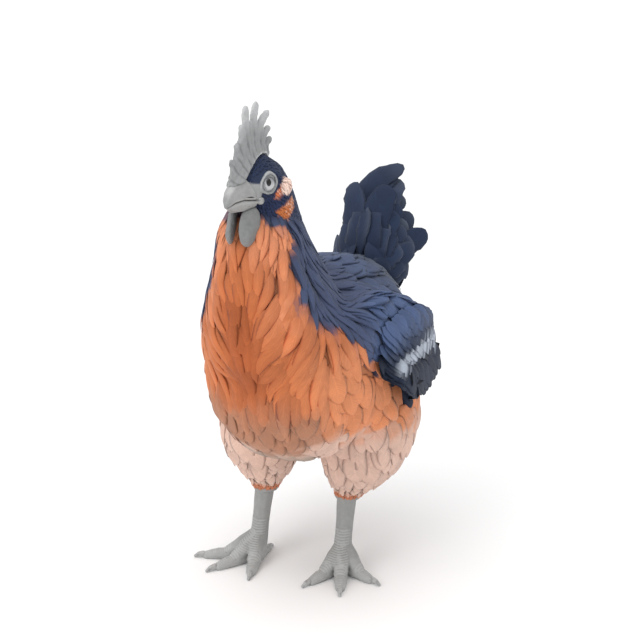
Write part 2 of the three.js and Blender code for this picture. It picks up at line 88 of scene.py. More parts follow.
def from_head(points):
    return HEAD_AT + spun(points, HEAD_TURN)


def head_places(points):
    """Distances from the head's middle plane, and places back from the eyes and up from them."""
    x, along, up = np.moveaxis(to_head(points), -1, 0)
    return np.abs(x), along, up


# ---------------------------------------------------------------- small maths
def unit(v):
    v = np.asarray(v, float)
    return v / np.maximum(np.linalg.norm(v, axis=-1, keepdims=True), 1e-9)


def ramp(low, high, value):
    """0 below low, 1 above high, smooth between them; low may be the larger."""
    t = np.clip((value - low) / (high - low), 0, 1)
    return t * t * (3 - 2 * t)


def mix(a, b, amount):
    amount = np.asarray(amount)[..., None]
    return np.asarray(a) * (1 - amount) + np.asarray(b) * amount


def srgb(red, green, blue):
    """A display colour from 0 to 255 as linear light."""
    c = np.array([red, green, blue]) / 255
    return np.where(c <= 0.04045, c / 12.92, ((c + 0.055) / 1.055) ** 2.4)


def ripple(p, size):
    """A smooth wandering value from about -1 to 1 with waves about `size` mm long."""
    q = np.asarray(p) * (2 * math.pi / size)
    x, y, z = q[..., 0], q[..., 1], q[..., 2]
    return (
        np.sin(x + 0.7 * y + 1.3) * np.sin(0.9 * z - 0.4 * x + 0.2)
        + 0.6 * np.sin(1.7 * y + 1.1 * z + 2.1) * np.sin(1.4 * x - 0.8 * z)
    )


# ---------------------------------------------------------------- meshes
def read(items, what, wide, kind=float):
    """What each of a mesh's items holds, in rows of `wide` values."""
    values = np.empty(len(items) * wide, kind)
    items.foreach_get(what, values)
    return values.reshape(-1, wide)


def cad_shape(node, grow=0.0):
    """A CAD node's points and triangles in the bird's frame, `grow` mm larger all round."""
    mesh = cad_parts[node].data
    mesh.calc_loop_triangles()
    points = from_world(read(mesh.vertices, "co", 3))
    tris = read(mesh.loop_triangles, "vertices", 3, np.int32)
    _, first, back = np.unique(points.round(3), axis=0, return_index=True, return_inverse=True)
    points, tris = points[first], back.reshape(-1)[tris]
    if grow:
        points = points + grow * vertex_normals(points, tris)
    return points, tris


def face_crosses(points, faces):
    """Normals of triangles or quads, twice as long as the face is large."""
    first, after, before, last = (points[faces[:, k]] for k in (0, -3, -2, -1))
    return np.cross(before - first, last - after)


def vertex_normals(points, faces):
    normal = face_crosses(points, faces)
    total = np.zeros_like(points)
    for k in range(faces.shape[1]):
        for axis in range(3):
            total[:, axis] += np.bincount(faces[:, k], normal[:, axis], len(points))
    return unit(total)


def joined(shapes):
    """Several shapes, each points and faces, as one."""
    points, faces, start = [], [], 0
    for p, f in shapes:
        points.append(p)
        faces.append(f + start)
        start += len(p)
    return np.concatenate(points), np.concatenate(faces)


def voxel(shape, size):
    """A shape remeshed into even quads `size` mm wide."""
    points, faces = shape
    mesh = bpy.data.meshes.new("rough")
    mesh.from_pydata((points * MM).tolist(), [], faces.tolist())
    rough = bpy.data.objects.new("rough", mesh)
    bpy.context.collection.objects.link(rough)
    remesh = rough.modifiers.new("remesh", "REMESH")
    remesh.mode = "VOXEL"
    remesh.voxel_size = size * MM
    made = rough.evaluated_get(bpy.context.evaluated_depsgraph_get()).to_mesh()
    points = read(made.vertices, "co", 3) / MM
    quads = read(made.loops, "vertex_index", 1, np.int32).reshape(-1, 4)
    bpy.data.objects.remove(rough)
    bpy.data.meshes.remove(mesh)
    return points, quads


def grid(rows, wide, rows_close=False, row_closes=True):
    """Quads over points laid out in rows; the rows, and each row, may close on themselves."""
    row, k = np.arange(rows - (not rows_close))[:, None], np.arange(wide - (not row_closes))
    here, following = row * wide, (row + 1) % rows * wide
    beside = (k + 1) % wide
    return np.stack([here + k, here + beside, following + beside, following + k], -1).reshape(-1, 4)


def around(count):
    """Angles of `count` even steps round a circle."""
    return np.linspace(0, 2 * math.pi, count, endpoint=False)


def neighbours_mean(values, quads):
    """The mean of the values at each point's neighbours along the quads' edges."""
    a = quads.ravel()
    b = np.roll(quads, -1, axis=1).ravel()
    count = np.bincount(a, minlength=len(values))
    total = np.stack(
        [np.bincount(a, values[:, k][b], len(values)) for k in range(values.shape[1])], -1
    )
    return total / np.maximum(count, 1)[:, None]


def relaxed(points, quads, rounds, amount=0.5):
    """The points after `rounds` of smoothing; amount is one number or one for each point."""
    amount = np.broadcast_to(np.asarray(amount, float), len(points))[:, None]
    for _ in range(rounds):
        points = points + amount * (neighbours_mean(points, quads) - points)
    return points


def eased(points, quads, rounds):
    """Smoothed without shrinking."""
    for _ in range(rounds):
        points = relaxed(relaxed(points, quads, 1, 0.5), quads, 1, -0.52)
    return points


def tree(points, faces):
    return BVHTree.FromPolygons(points.tolist(), faces.tolist())


def nearest(bvh, points):
    """Nearest place on the surface, its face's normal, the face's index and the distance."""
    hits = [bvh.find_nearest(p) for p in np.asarray(points, float).tolist()]
    place = np.array([tuple(h[0]) for h in hits])
    normal = np.array([tuple(h[1]) for h in hits])
    face = np.array([h[2] for h in hits])
    away = np.array([h[3] for h in hits])
    return place, normal, face, away


def with_alpha(colour, alpha=1.0):
    return np.column_stack([colour, np.broadcast_to(alpha, len(colour))])


def make_piece(name, points, faces, material, uvs=None, colour=None):
    """Adds an object from faces, a list of index arrays; uvs and colour hold one entry a point."""
    mesh = bpy.data.meshes.new(name)
    mesh.vertices.add(len(points))
    mesh.vertices.foreach_set("co", to_world(points).ravel())
    loops = np.concatenate([f.ravel() for f in faces]).astype(np.int32)
    sizes = np.concatenate([np.full(len(f), f.shape[1]) for f in faces])
    mesh.loops.add(len(loops))
    mesh.loops.foreach_set("vertex_index", loops)
    mesh.polygons.add(len(sizes))
    starts = np.concatenate([[0], np.cumsum(sizes)[:-1]])
    mesh.polygons.foreach_set("loop_start", starts.astype(np.int32))
    mesh.polygons.foreach_set("use_smooth", np.ones(len(sizes), bool))
    mesh.update(calc_edges=True)
    for title, flat in (uvs or {}).items():
        layer = mesh.uv_layers.new(name=title)
        layer.data.foreach_set("uv", np.asarray(flat, np.float32)[loops].ravel())
    if colour is not None:
        layer = mesh.attributes.new("Mark", "FLOAT_COLOR", "POINT")
        layer.data.foreach_set("color", np.asarray(colour, np.float32).ravel())
    mesh.materials.append(material)
    piece = bpy.data.objects.new(name, mesh)
    bpy.context.collection.objects.link(piece)
    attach(piece, "root")
    return piece


def make_solid(name, points, quads, material, colour):
    """Adds an object of quads alone, with a colour for each point."""
    return make_piece(name, points, [quads], material, colour=with_alpha(colour))


# ---------------------------------------------------------------- markings
BREAST = srgb(190, 108, 64)
FLANK = srgb(216, 136, 92)
PEACH = srgb(212, 136, 98)
CENTRE = srgb(158, 80, 40)
DUSTY = srgb(166, 116, 90)
CREAM = srgb(212, 178, 162)
VENT = srgb(150, 134, 122)
RIM_LIGHT = srgb(232, 208, 196)
HOCK = srgb(196, 112, 70)
SHADE = srgb(74, 44, 32)
PURPLE = srgb(86, 66, 84)
HACKLE = srgb(66, 76, 104)
CAP = srgb(36, 50, 80)
CHEEK = srgb(35, 47, 80)
WING = srgb(74, 92, 130)
WING_DARK = srgb(23, 33, 53)
WING_BAR = srgb(184, 193, 207)
BACK = srgb(69, 82, 112)
SADDLE = srgb(74, 82, 98)
TAIL_TONE = srgb(33, 46, 71)
EAR = srgb(250, 218, 203)
EAR_STREAK = srgb(222, 124, 80)
CHEEK_PATCH = srgb(206, 118, 66)
BARE = srgb(150, 151, 151)
LEG = srgb(152, 153, 152)
LEG_EDGE = srgb(182, 183, 182)

# The neck's axis.
NECK_Z = [208, 250, 275, 300, 322, 342, 360, 376, 399]
NECK_X = [0, -1, -4, -7, -8, -9, -10, -10, -10]
NECK_Y = [-44, -48, -52, -57, -61, -64, -66, -67, -63]
# The orange bib's half angle round that axis, in degrees; the right side is the narrower.
BIB_Z = [262, 276, 296, 323, 346, 364, 372]
BIB_LEFT = [72, 56, 50, 53, 61, 80, 190]
BIB_RIGHT = [60, 46, 37, 40, 50, 70, 190]
# The pale bar across the wing, the lower edge of the navy along the body, and the bib's end
# under the chin at angles round the neck.
BAR_Y, BAR_Z = [-6, 4, 16, 34, 56, 80, 104], [215, 217, 221, 222, 222, 218, 210]
NAVY_Y, NAVY_Z = [-80, -74, -63, -12, 60, 100, 135, 160], [330, 279, 262, 217, 168, 176, 196, 210]
CHIN_ANGLE, CHIN_Z = [0, 18, 32, 90], [376, 371, 358, 354]


def neck_angle(p):
    """Degrees round the neck's axis from straight ahead, positive on the left."""
    x = p[..., 0] - np.interp(p[..., 2], NECK_Z, NECK_X)
    y = p[..., 1] - np.interp(p[..., 2], NECK_Z, NECK_Y)
    return np.degrees(np.arctan2(x, -y))


def oval(u, v, centre, half):
    """Distance from an oval's middle as a share of its half size: 1 on its edge."""
    return np.hypot((u - centre[0]) / half[0], (v - centre[1]) / half[1])


def navy_share(p):
    """How far the upper, navy plumage covers a point: 0 orange, 1 navy."""
    wander = ripple(p, 34)
    y, z = p[..., 1], p[..., 2]
    folded = ramp(92, 97, np.abs(p[..., 0])) * ramp(-14, 6, y) * ramp(158, 168, z)
    line = np.interp(y, NAVY_Y, NAVY_Z) - 60 * folded
    body = ramp(-5, 5, z - line + 4 * wander) * ramp(-84, -72, y)
    angle = neck_angle(p)
    half = np.where(angle > 0, np.interp(z, BIB_Z, BIB_LEFT), np.interp(z, BIB_Z, BIB_RIGHT))
    angle = np.abs(angle)
    neck = ramp(-5, 5, angle - half + 5 * wander) * ramp(262, 276, z + 3 * wander)
    chin = ramp(-2, 2, z - np.interp(angle, CHIN_ANGLE, CHIN_Z) + wander)
    return np.maximum(np.maximum(body, neck), chin)


def layered(colour, *layers):
    """A colour under others, each with its share of the place."""
    for tone, share in layers:
        colour = mix(colour, tone, share)
    return colour


def underparts(p):
    """The orange plumage, which pales downwards."""
    x, y, z = p[..., 0], p[..., 1], p[..., 2]
    out, angle = np.abs(x), np.abs(neck_angle(p))
    wander, fine = ripple(p, 46), ripple(p, 13)
    blotch = (0.6 + 0.4 * ripple(p, 21)).clip(0, 1)
    pale_from = np.interp(y, [-110, -50, 8, 44, 120], [166, 162, 151, 146, 160])
    pale_from = pale_from - 16 * ramp(36, 18, out)
    return layered(
        BREAST,
        (FLANK, ramp(30, 62, out) * ramp(262, 240, z)),
        (PEACH, ramp(10, 34, angle) * ramp(245, 290, z) * blotch),
        (PEACH, 0.8 * ramp(318, 342, z) * ramp(4, 14, angle)),
        (CENTRE, 0.8 * ramp(22, 5, angle) * ramp(200, 226, z) * ramp(318, 290, z)),
        # painted shade on the throat between the wattles
        (SHADE, 0.8 * ramp(9, 4, np.abs(x + 9)) * ramp(340, 350, z)),
        (DUSTY, ramp(214, 184, z + 7 * wander) * ramp(66, 40, out) * ramp(20, -40, y)),
        (CREAM, ramp(9, -10, z - pale_from + 6 * wander + 4 * fine)),
        (VENT, ramp(60, 120, y) * ramp(215, 190, z)),
        # painted shade: grey on the underside between the thighs
        (VENT, 0.85 * ramp(34, 20, out) * ramp(158, 140, z) * ramp(120, 130, z)),
        (HOCK, 0.85 * ramp(74, 70, z + 1.2 * fine)),
    )


def upperparts(p):
    """The navy plumage, with the wing's dark band under its pale bar."""
    y, out = p[..., 1], np.abs(p[..., 0])
    wing = ramp(66, 78, out) * ramp(-30, -16, y)
    over_bar = p[..., 2] - np.interp(y, BAR_Y, BAR_Z)
    jag = 3 * ripple(p * [0.2, 1, 0.22], 7)
    bar = ramp(9.5, 2.5, np.abs(over_bar + jag)) * ramp(-10, 2, y) * ramp(104, 88, y)
    return layered(
        HACKLE,
        (WING, ramp(-50, -20, y) * ramp(60, 78, out)),
        (BACK, ramp(-10, 30, y) * ramp(70, 50, out)),
        (SADDLE, ramp(40, 100, y) * ramp(62, 44, out)),
        (TAIL_TONE, ramp(122, 138, y)),
        (mix(WING, WING_DARK, 0.85), wing * ramp(38, 8, over_bar + 4 * ripple(p, 13))),
        (WING_DARK, wing * ramp(12, 2, over_bar + jag)),
        (WING_BAR, 0.85 * wing * bar),
    )


def markings(p):
    """The plumage's colour at points in the bird's frame."""
    p = np.asarray(p, float)
    share = navy_share(p)
    side, along, up = head_places(p)
    cap = mix(CHEEK, CAP, ramp(-8, 6, up + 2 * ripple(p, 46)))
    flank = ramp(9, 13, side)
    hair = ripple(p, 4.5)
    # a patch at the cheek's lower edge, a streak before the ear and the ear itself
    below = up - 0.5 * (along - 13)
    patch = ramp(1.1, 0.94, oval(along, below, (13.4, -18.5), (10, 11.5)))
    patch = patch * ramp(-0.8, 0.8, -18.6 - below)
    streak = ramp(1.2, 0.85, oval(along - 0.8 * (up + 7), up, (10.6, -8.2), (3.4, 5.6)))
    ear = ramp(1.12, 0.92, oval(along - 0.15 * up, up, (17.4, -5), (5.4, 7)))
    return layered(
        underparts(p),
        (PURPLE, ramp(0.05, 0.5, share)),
        (upperparts(p), ramp(0.35, 0.85, share)),
        (cap, ramp(-33, -27, up) * ramp(30, 22, np.abs(along))),
        (mix(CHEEK_PATCH, EAR, 0.45 * ramp(0.0, 1.2, hair + 0.1 * (along - 12))), patch * flank),
        (mix(EAR_STREAK, EAR, 0.5 * ramp(0, 1, hair)), streak * flank),
        (EAR, ear * flank),
    )


def bare_face(p):
    """1 on the face's naked skin, between the bill, the comb and the eye."""
    side, along, up = head_places(p)
    brow = np.interp(along, [-22, -17, -11], [6, 2.2, 1.2])
    lore = ramp(-9.6, -11.4, along - 0.1 * (up + 8)) * ramp(0.8, -0.8, up - brow)
    lore = lore * ramp(-20.5, -18.5, up)
    ring = ramp(1.1, 0.9, oval(along - 0.2 * up, up, (-1.4, 0.4), (7.8, 7.4))) * ramp(10, 13, side)
    return np.clip(lore + ring, 0, 1)


# ---------------------------------------------------------------- lie of the plumage
HEAD_FROM = 356.0  # the head's flow of feathers begins at this height
# Where each feather points: a place on the left side (or the middle) and the way it lies there.
LIE = [
    ((-10, -112, 392), (0, 0.1, -1)), ((-10, -85, 420), (0, 1, 0.1)),
    ((8, -104, 402), (0.1, 1, 0.5)), ((14, -98, 384), (0, 0.8, -0.7)),
    ((14, -78, 380), (0, 0.7, -0.8)), ((10, -66, 398), (0, 0.9, -0.5)),
    ((-10, -48, 396), (0, 0.6, -1)), ((18, -71, 390), (0, 0.5, -1)),
    ((19, -74, 372), (0, 0.7, -0.8)), ((-9, -100, 362), (0, 0, -1)),
    ((16, -88, 358), (-0.12, 0.05, -1)), ((22, -60, 352), (0.1, 0.25, -1)),
    ((-8, -30, 352), (0, 0.3, -1)), ((-5, -112, 336), (0, 0, -1)),
    ((16, -106, 334), (-0.45, 0, -1)), ((34, -80, 330), (-0.12, 0.08, -1)),
    ((38, -50, 326), (0.2, 0.3, -1)), ((-6, -14, 322), (0, 0.7, -1)), ((-2, -122, 300), (0, 0, -1)),
    ((20, -116, 300), (-0.95, 0, -1)), ((42, -92, 296), (-0.6, 0, -1)),
    ((54, -58, 292), (0.1, 0.4, -1)), ((48, -22, 300), (0.3, 0.9, -0.5)),
    ((0, 6, 308), (0, 1, -0.1)), ((1, -124, 266), (0, 0, -1)), ((24, -118, 264), (-1.3, 0, -1)),
    ((48, -98, 262), (-1.0, 0, -1)), ((66, -70, 262), (-0.1, 0.35, -1)),
    ((0, -118, 232), (0, 0, -1)), ((24, -114, 236), (-1.1, 0, -1)),
    ((46, -98, 238), (-0.85, 0, -1)), ((0, -112, 196), (0, 0.15, -1)),
    ((40, -98, 196), (0, 0.2, -1)), ((70, -60, 220), (0.05, 0.35, -1)),
    ((0, -84, 146), (0, 0.7, -0.8)), ((44, -60, 150), (0, 0.4, -1)), ((0, 0, 122), (0, 1, 0)),
    ((80, -20, 190), (0, 0.4, -1)), ((84, 40, 190), (0, 0.45, -1)), ((0, 60, 300), (0, 1, -0.1)),
    ((44, 40, 290), (0.2, 1, -0.3)), ((30, 100, 285), (0.15, 1, -0.2)),
    ((62, 90, 250), (0.2, 0.9, -0.7)), ((0, 126, 280), (0, 0.8, 0.5)),
    ((40, 130, 220), (0, 0.8, -0.7)), ((0, 140, 226), (0, 0.7, -0.5)),
    ((0, 90, 140), (0, 0.9, -0.2)), ((92, -40, 262), (0, 0.75, -0.65)),
    ((94, 20, 240), (0, 0.82, -0.57)), ((92, 80, 205), (0, 0.88, -0.47)),
    ((62, 10, 130), (0.05, 0.15, -1)), ((40, -20, 130), (0, 0.1, -1)),
    ((60, 70, 140), (0, 0.1, -1)), ((42, 30, 85), (-0.25, -0.1, -1)), ((30, 26, 68), (0, 0, -1)),
    ((55, 14, 68), (0, 0, -1)),
]
LIE_AT = np.array([at for at, _ in LIE] + [(-x, y, z) for (x, y, z), _ in LIE if x > 0], float)
LIE_WAY = unit([way for _, way in LIE] + [(-x, y, z) for (at, (x, y, z)) in LIE if at[0] > 0])


def lie(points, normals):
    """The way the coat lies along the skin; the turned head's two sides are the same."""
    in_head = to_head(points)
    mirrored = (in_head[:, 0] < 0) & (points[:, 2] > HEAD_FROM)
    flip = np.where(mirrored, -1.0, 1.0)[:, None] * [1, 0, 0] + [0, 1, 1]
    gap = from_head(in_head * flip)[:, None, :] - LIE_AT[None]
    weight = 1 / ((gap**2).sum(-1) + 60) ** 1.6
    way = (weight[..., None] * LIE_WAY[None]).sum(1)
    way = from_head(to_head(way + HEAD_AT) * flip) - HEAD_AT
    way -= (way * normals).sum(-1, keepdims=True) * normals
    return unit(way)


def off_the_floor(points):
    """The points, with none lower than just over the floor."""
    return np.column_stack([points[:, :2], np.maximum(points[:, 2], FLOOR + 0.05)])


# ---------------------------------------------------------------- skin
FLESH = ["trunk", "neck", "head"]
FLESH += [f"{part}_{side}" for part in ("thigh", "ear", "wing") for side in SIDES]
LIMBS = []
for side in SIDES:
    LIMBS += [f"shank_{side}", f"foot_{side}"] + [f"toe_{side}_{toe}" for toe in TOES]


def loft(rings):
    """Triangles over rings of points, with both ends closed."""
    rings = np.asarray(rings, float)
    rows, count = rings.shape[:2]
    quads = grid(rows, count).reshape(rows - 1, count, 4)
    faces = [tris for row in quads for tris in (row[:, :3], row[:, [0, 2, 3]])]
    k, ends = np.arange(count), np.full(count, rows * count)
    following, last = (k + 1) % count, rows * count - count
    faces.append(np.stack([following, k, ends], -1))
    faces.append(np.stack([last + k, last + following, ends + 1], -1))
    points = np.concatenate([rings.reshape(-1, 3), rings[:1].mean(1), rings[-1:].mean(1)])
    return points, np.concatenate(faces)


def blob(at, half, count=12):
    """A closed ellipsoid about a point."""
    down = np.linspace(0, math.pi, count)[1:-1, None]
    turn = around(2 * count)[None]
    wide, up = np.sin(down), -np.cos(down) * np.ones_like(turn)
    way = [wide * np.cos(turn), wide * np.sin(turn), up]
    return loft(np.asarray(at) + np.stack(way, -1) * half)


def tail_root():
    """The fleshy root of the tail: half width, rise and drop from its foot to its end."""
    turn = around(24)
    rings = []
    for t in np.linspace(0, 1, 8):
        width, rise, drop = (
            np.interp(t, [0, 0.4, 0.75, 1], sizes)
            for sizes in ([30, 25, 15, 4], [24, 30, 28, 10], [26, 22, 14, 5])
        )
        high = np.where(np.sin(turn) > 0, rise, drop) * np.sin(turn)
        back, up = 118 + 50 * t - 0.33 * high, 250 + 26 * t + 0.94 * high
        rings.append(np.stack([width * np.cos(turn), back, up], -1))
    return loft(rings)


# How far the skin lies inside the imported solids, by height: on the legs it is itself the surface
# and stands proud. Then its depth on the head and on the bare face.
DEPTH_Z = [FLOOR, 4, 12, 46, 60, 68, 77, 110, 150]
DEPTH = [-1.5, -1.5, -1.9, -2.0, -2.7, -3.0, 0.6, 3.2, 4.6]
HEAD_DEPTH, FACE_DEPTH = 1.5, -0.8


def coat_depth(p):
    """How far the skin lies inside the solids' surface."""
    body = np.interp(p[:, 2], DEPTH_Z, DEPTH)
    above = p[:, 2] - (354 + 0.55 * (p[:, 1] + 95))
    depth = body + (HEAD_DEPTH - body) * ramp(-40, 4, above)
    return mix(depth[:, None], [FACE_DEPTH], bare_face(p))[:, 0]


# Each leg's axis, from the ankle to the hock.
LEG_AXES = {
    "left": ([30, 13.6, 5.5], [29, 28.6, 65.5]),
    "right": ([-56, 2.6, 5.5], [-52, 13.6, 65.5]),
}
# Head and legs are remeshed larger than life, so that they keep finer detail than the body.
LEVELS = np.arange(-30.0, 500.0)
MIDLINE = -22.0  # between the feet, where they are magnified


def magnifying(z):
    """How much larger the shape is made at a height."""
    return 1 + 0.8 * ramp(78, 62, z) + 0.45 * ramp(345, 368, z)


STRETCHED = np.concatenate([[0], np.cumsum(magnifying(LEVELS))[:-1]])


def magnified(points, back=False):
    """The points with head and legs enlarged about their axes, or shrunk back."""
    x, z = points[:, 0], points[:, 2]
    level = np.interp(z, STRETCHED, LEVELS) if back else z
    axis = np.empty((len(points), 2))
    for name, (ankle, hock) in LEG_AXES.items():
        on_side = (x > (MIDLINE if back else 0)) == (name == "left")
        for k in range(2):
            axis[on_side, k] = np.interp(level[on_side], [ankle[2], hock[2]], [ankle[k], hock[k]])
    axis[level > 200] = HEAD_AT[:2]
    size = magnifying(level)[:, None]
    flat = axis + (points[:, :2] - axis) * (1 / size if back else size)
    return np.column_stack([flat, level if back else np.interp(z, LEVELS, STRETCHED)])


def claw_at(side, toe):
    return from_world(middle(f"claw_{side}_{toe}"))


def web(side, toe):
    """Flesh from the front of the leg down into a toe."""
    ankle, hock = (np.array(end) for end in LEG_AXES[side])
    tip = claw_at(side, toe)
    start = ankle + (hock - ankle) * 0.27
    end = ankle + (tip - ankle) * 0.5
    end[2] = FLOOR + 6.5
    way = unit(end - start)
    across = unit(np.cross(way, [0, 0, 1]))
    over = np.cross(across, way)
    turn = around(16)[:, None]
    rings = []
    for t in np.linspace(0, 1, 7):
        centre = start + (end - start) * t - [0, 0, 6.0 * t * (1 - t)]
        wide = np.interp(t, [0, 0.5, 1], [5.0, 6.4, 5.6])
        thick = np.interp(t, [0, 0.5, 1], [4.5, 6.0, 5.0])
        rings.append(centre + wide * np.cos(turn) * across + thick * np.sin(turn) * over)
    return loft(rings)


# Down the back of head and neck, where the skin is filled or cut back to run on evenly.
NAPE_Z = [332, 340, 346, 352, 358, 364, 370, 376, 384, 392, 397, 401, 406, 412]
NAPE_FILL = [0, -1.8, -3.6, -1.3, 1.8, 2.6, 1.8, 0.6, -0.2, -0.1, 0.4, 1.6, 1.4, 0]

SEAM = 0.35  # how much the solids grow, so that they meet
SKIN_VOXEL = 2.2
BODY_ROUNDS, LEG_ROUNDS, MOVE_ROUNDS, NAPE_ROUNDS = 60, 14, 18, 60  # of smoothing
REACH = 60.0  # the farthest that the far side of the flesh is looked for


def thickness(points, inward, bvh):
    """How far it is through the flesh from each point."""
    thick = np.full(len(points), REACH)
    for k, (at, way) in enumerate(zip((points + 0.05 * inward).tolist(), inward.tolist())):
        hit = bvh.ray_cast(at, way, REACH)
        if hit[3] is not None:
            thick[k] = hit[3]
    return thick


def skin_shape():
    """The bird's skin: the solids joined, smoothed, and drawn in by the depth of the coat."""
    webs = [web(side, toe) for side in SIDES for toe in TOES[:3]]
    whole, faces = joined([cad_shape(node, SEAM) for node in FLESH + LIMBS] + [tail_root()] + webs)
    rough, quads = voxel((magnified(whole), faces), SKIN_VOXEL)
    rough = magnified(rough, back=True)
    outline = tree(rough, quads)
    thick = thickness(rough, -vertex_normals(rough, quads), outline)
    # the body is smoothed, the head less, and the legs without shrinking
    on_leg = ramp(78, 68, rough[:, 2])
    nape = ramp(350, 366, rough[:, 2]) * ramp(-66, -54, rough[:, 1])
    on_head = ramp(345, 372, rough[:, 2]) * (1 - nape)
    smooth = relaxed(rough, quads, BODY_ROUNDS, 0.5 * (1 - on_leg) - 0.33 * on_head)
    smooth = smooth + on_leg[:, None] * (eased(smooth, quads, LEG_ROUNDS) - smooth)
    # each point is then moved to its depth under the solids' surface
    place, normal, _, away = nearest(outline, smooth)
    outside = away * np.sign(((smooth - place) * normal).sum(-1))
    depth = np.minimum(coat_depth(smooth), 0.33 * thick)
    move = (-SEAM - depth - outside)[:, None]
    move = relaxed(move, quads, MOVE_ROUNDS, 0.6 - 0.4 * np.maximum(on_leg, on_head))
    move = relaxed(move, quads, NAPE_ROUNDS, 0.5 * nape)
    points = smooth + move * vertex_normals(smooth, quads)
    fill = np.interp(points[:, 2], NAPE_Z, NAPE_FILL) * ramp(-72, -58, points[:, 1])
    points = points + fill[:, None] * vertex_normals(points, quads)
    return off_the_floor(points), quads


# ---------------------------------------------------------------- feathers
PATCH = 0.003  # width of one feather's place in OFBake
GROOVE = np.array([0.75, 0.62, 0.55])  # tint of the shade between two locks


def lance(t):
    """Half width along a long pointed feather."""
    return 1.66 * t**0.45 * (1 - 0.995 * t) ** 0.8


def rounded(t):
    """Half width along a broad feather with a round end."""
    return 1.36 * t**0.42 * (1 - 0.999 * t) ** 0.3


def leaf(t):
    """Half width along a feather that narrows to a soft point."""
    return 1.56 * t**0.45 * (1 - 0.997 * t) ** 0.52


class Plumage:
    """Feathers gathered for one piece: closed vanes, domed on top, with thin edges.

    Each is a strip of `rows` across its shaft, with `across` points on top and one below.
    """

    def __init__(self, rows, across):
        self.rows, self.across = rows, across
        s = np.linspace(0, 1, rows)
        self.t = 1 - (1 - s) ** 1.5
        self.points, self.colours, self.vane, self.bake = [], [], [], []

    def add(
        self, centre, normal, width, shape, dome, colour, place, thick, ragged=0.0, side=None,
        pale=None, groove=None,
    ):
        """Adds feathers. centre, normal and colour have a row for each row of a feather; place is
        its root's in OFBake, pale its rim's strength and colour, groove the painted shade on its
        edges."""
        count = len(centre)
        if side is None:
            side = unit(np.cross(unit(np.gradient(centre, axis=1)), normal))
        u = np.linspace(-1, 1, self.across)
        t = self.t
        half = (np.asarray(width)[:, None] / 2) * shape(t)[None]
        reach = half[..., None] * u
        if ragged:
            near_tip = ramp(0.35, 0.6, t)[None, :, None]
            nick = 1 - ragged * rng.random((count, self.rows, 2)) * near_tip
            reach[..., 0] *= nick[..., 0]
            reach[..., -1] *= nick[..., 1]
        crown = (np.asarray(dome)[:, None] * shape(t)[None])[..., None] * (1 - u**2)
        top = centre[:, :, None] + side[:, :, None] * reach[..., None]
        top = top + normal[:, :, None] * crown[..., None]
        under = (centre - normal * thick)[:, :, None]
        self.points.append(np.concatenate([top, under], 2))
        shade = np.broadcast_to(colour[:, :, None], (count, self.rows, self.across, 3)).copy()
        # painted shade along each vane's edges, where it lies against the next lock
        if groove is not None:
            edge = (np.abs(u) ** 4)[None] * (ramp(0.3, 0.6, t) * ramp(1.02, 0.9, t))[:, None]
            shade = mix(shade, shade**1.5 * GROOVE, groove[:, None, None] * edge[None])
        if pale is not None:
            strength, tone = pale
            rim = np.maximum(np.abs(u)[None] ** 3, ramp(0.8, 1, t)[:, None])
            rim = rim * ramp(0.3, 0.6, t)[:, None]
            shade = mix(shade, tone, strength * rim[None])
        self.colours.append(np.concatenate([shade, shade[:, :, self.across // 2, None] * 0.8], 2))
        uu = np.append((u + 1) / 2, 0.5)
        vane = np.stack(np.broadcast_arrays(uu[None, :], t[:, None]), -1)
        vane = np.broadcast_to(vane[None], (count,) + vane.shape)
        self.vane.append(vane)
        self.bake.append(np.clip(place[:, None, None] + (vane - 0.5) * PATCH, 0, 1))

    def make(self, name, slot, material):
        """Adds all the feathers as one piece."""
        points = np.concatenate(self.points)
        count, ring = len(points), self.across + 1
        sides = grid(self.rows, ring)
        # the ends of a feather are fans about the point under its shaft
        k = np.arange(ring)
        low = np.full(self.across - 1, self.across)
        foot = np.stack([low, k[1:-1], k[:-2]], -1)
        end = np.stack([low, k[:-2], k[1:-1]], -1) + (self.rows - 1) * ring
        start = (np.arange(count) * self.rows * ring)[:, None, None]
        quads = (sides[None] + start).reshape(-1, 4)
        tris = (np.concatenate([foot, end])[None] + start).reshape(-1, 3)
        maps = {"Vane": self.vane, "OFBake": self.bake}
        uvs = {title: np.concatenate(parts).reshape(-1, 2) for title, parts in maps.items()}
        colours = with_alpha(np.concatenate(self.colours).reshape(-1, 3))
        make_piece(name, points.reshape(-1, 3), [quads, tris], material, uvs, colours)


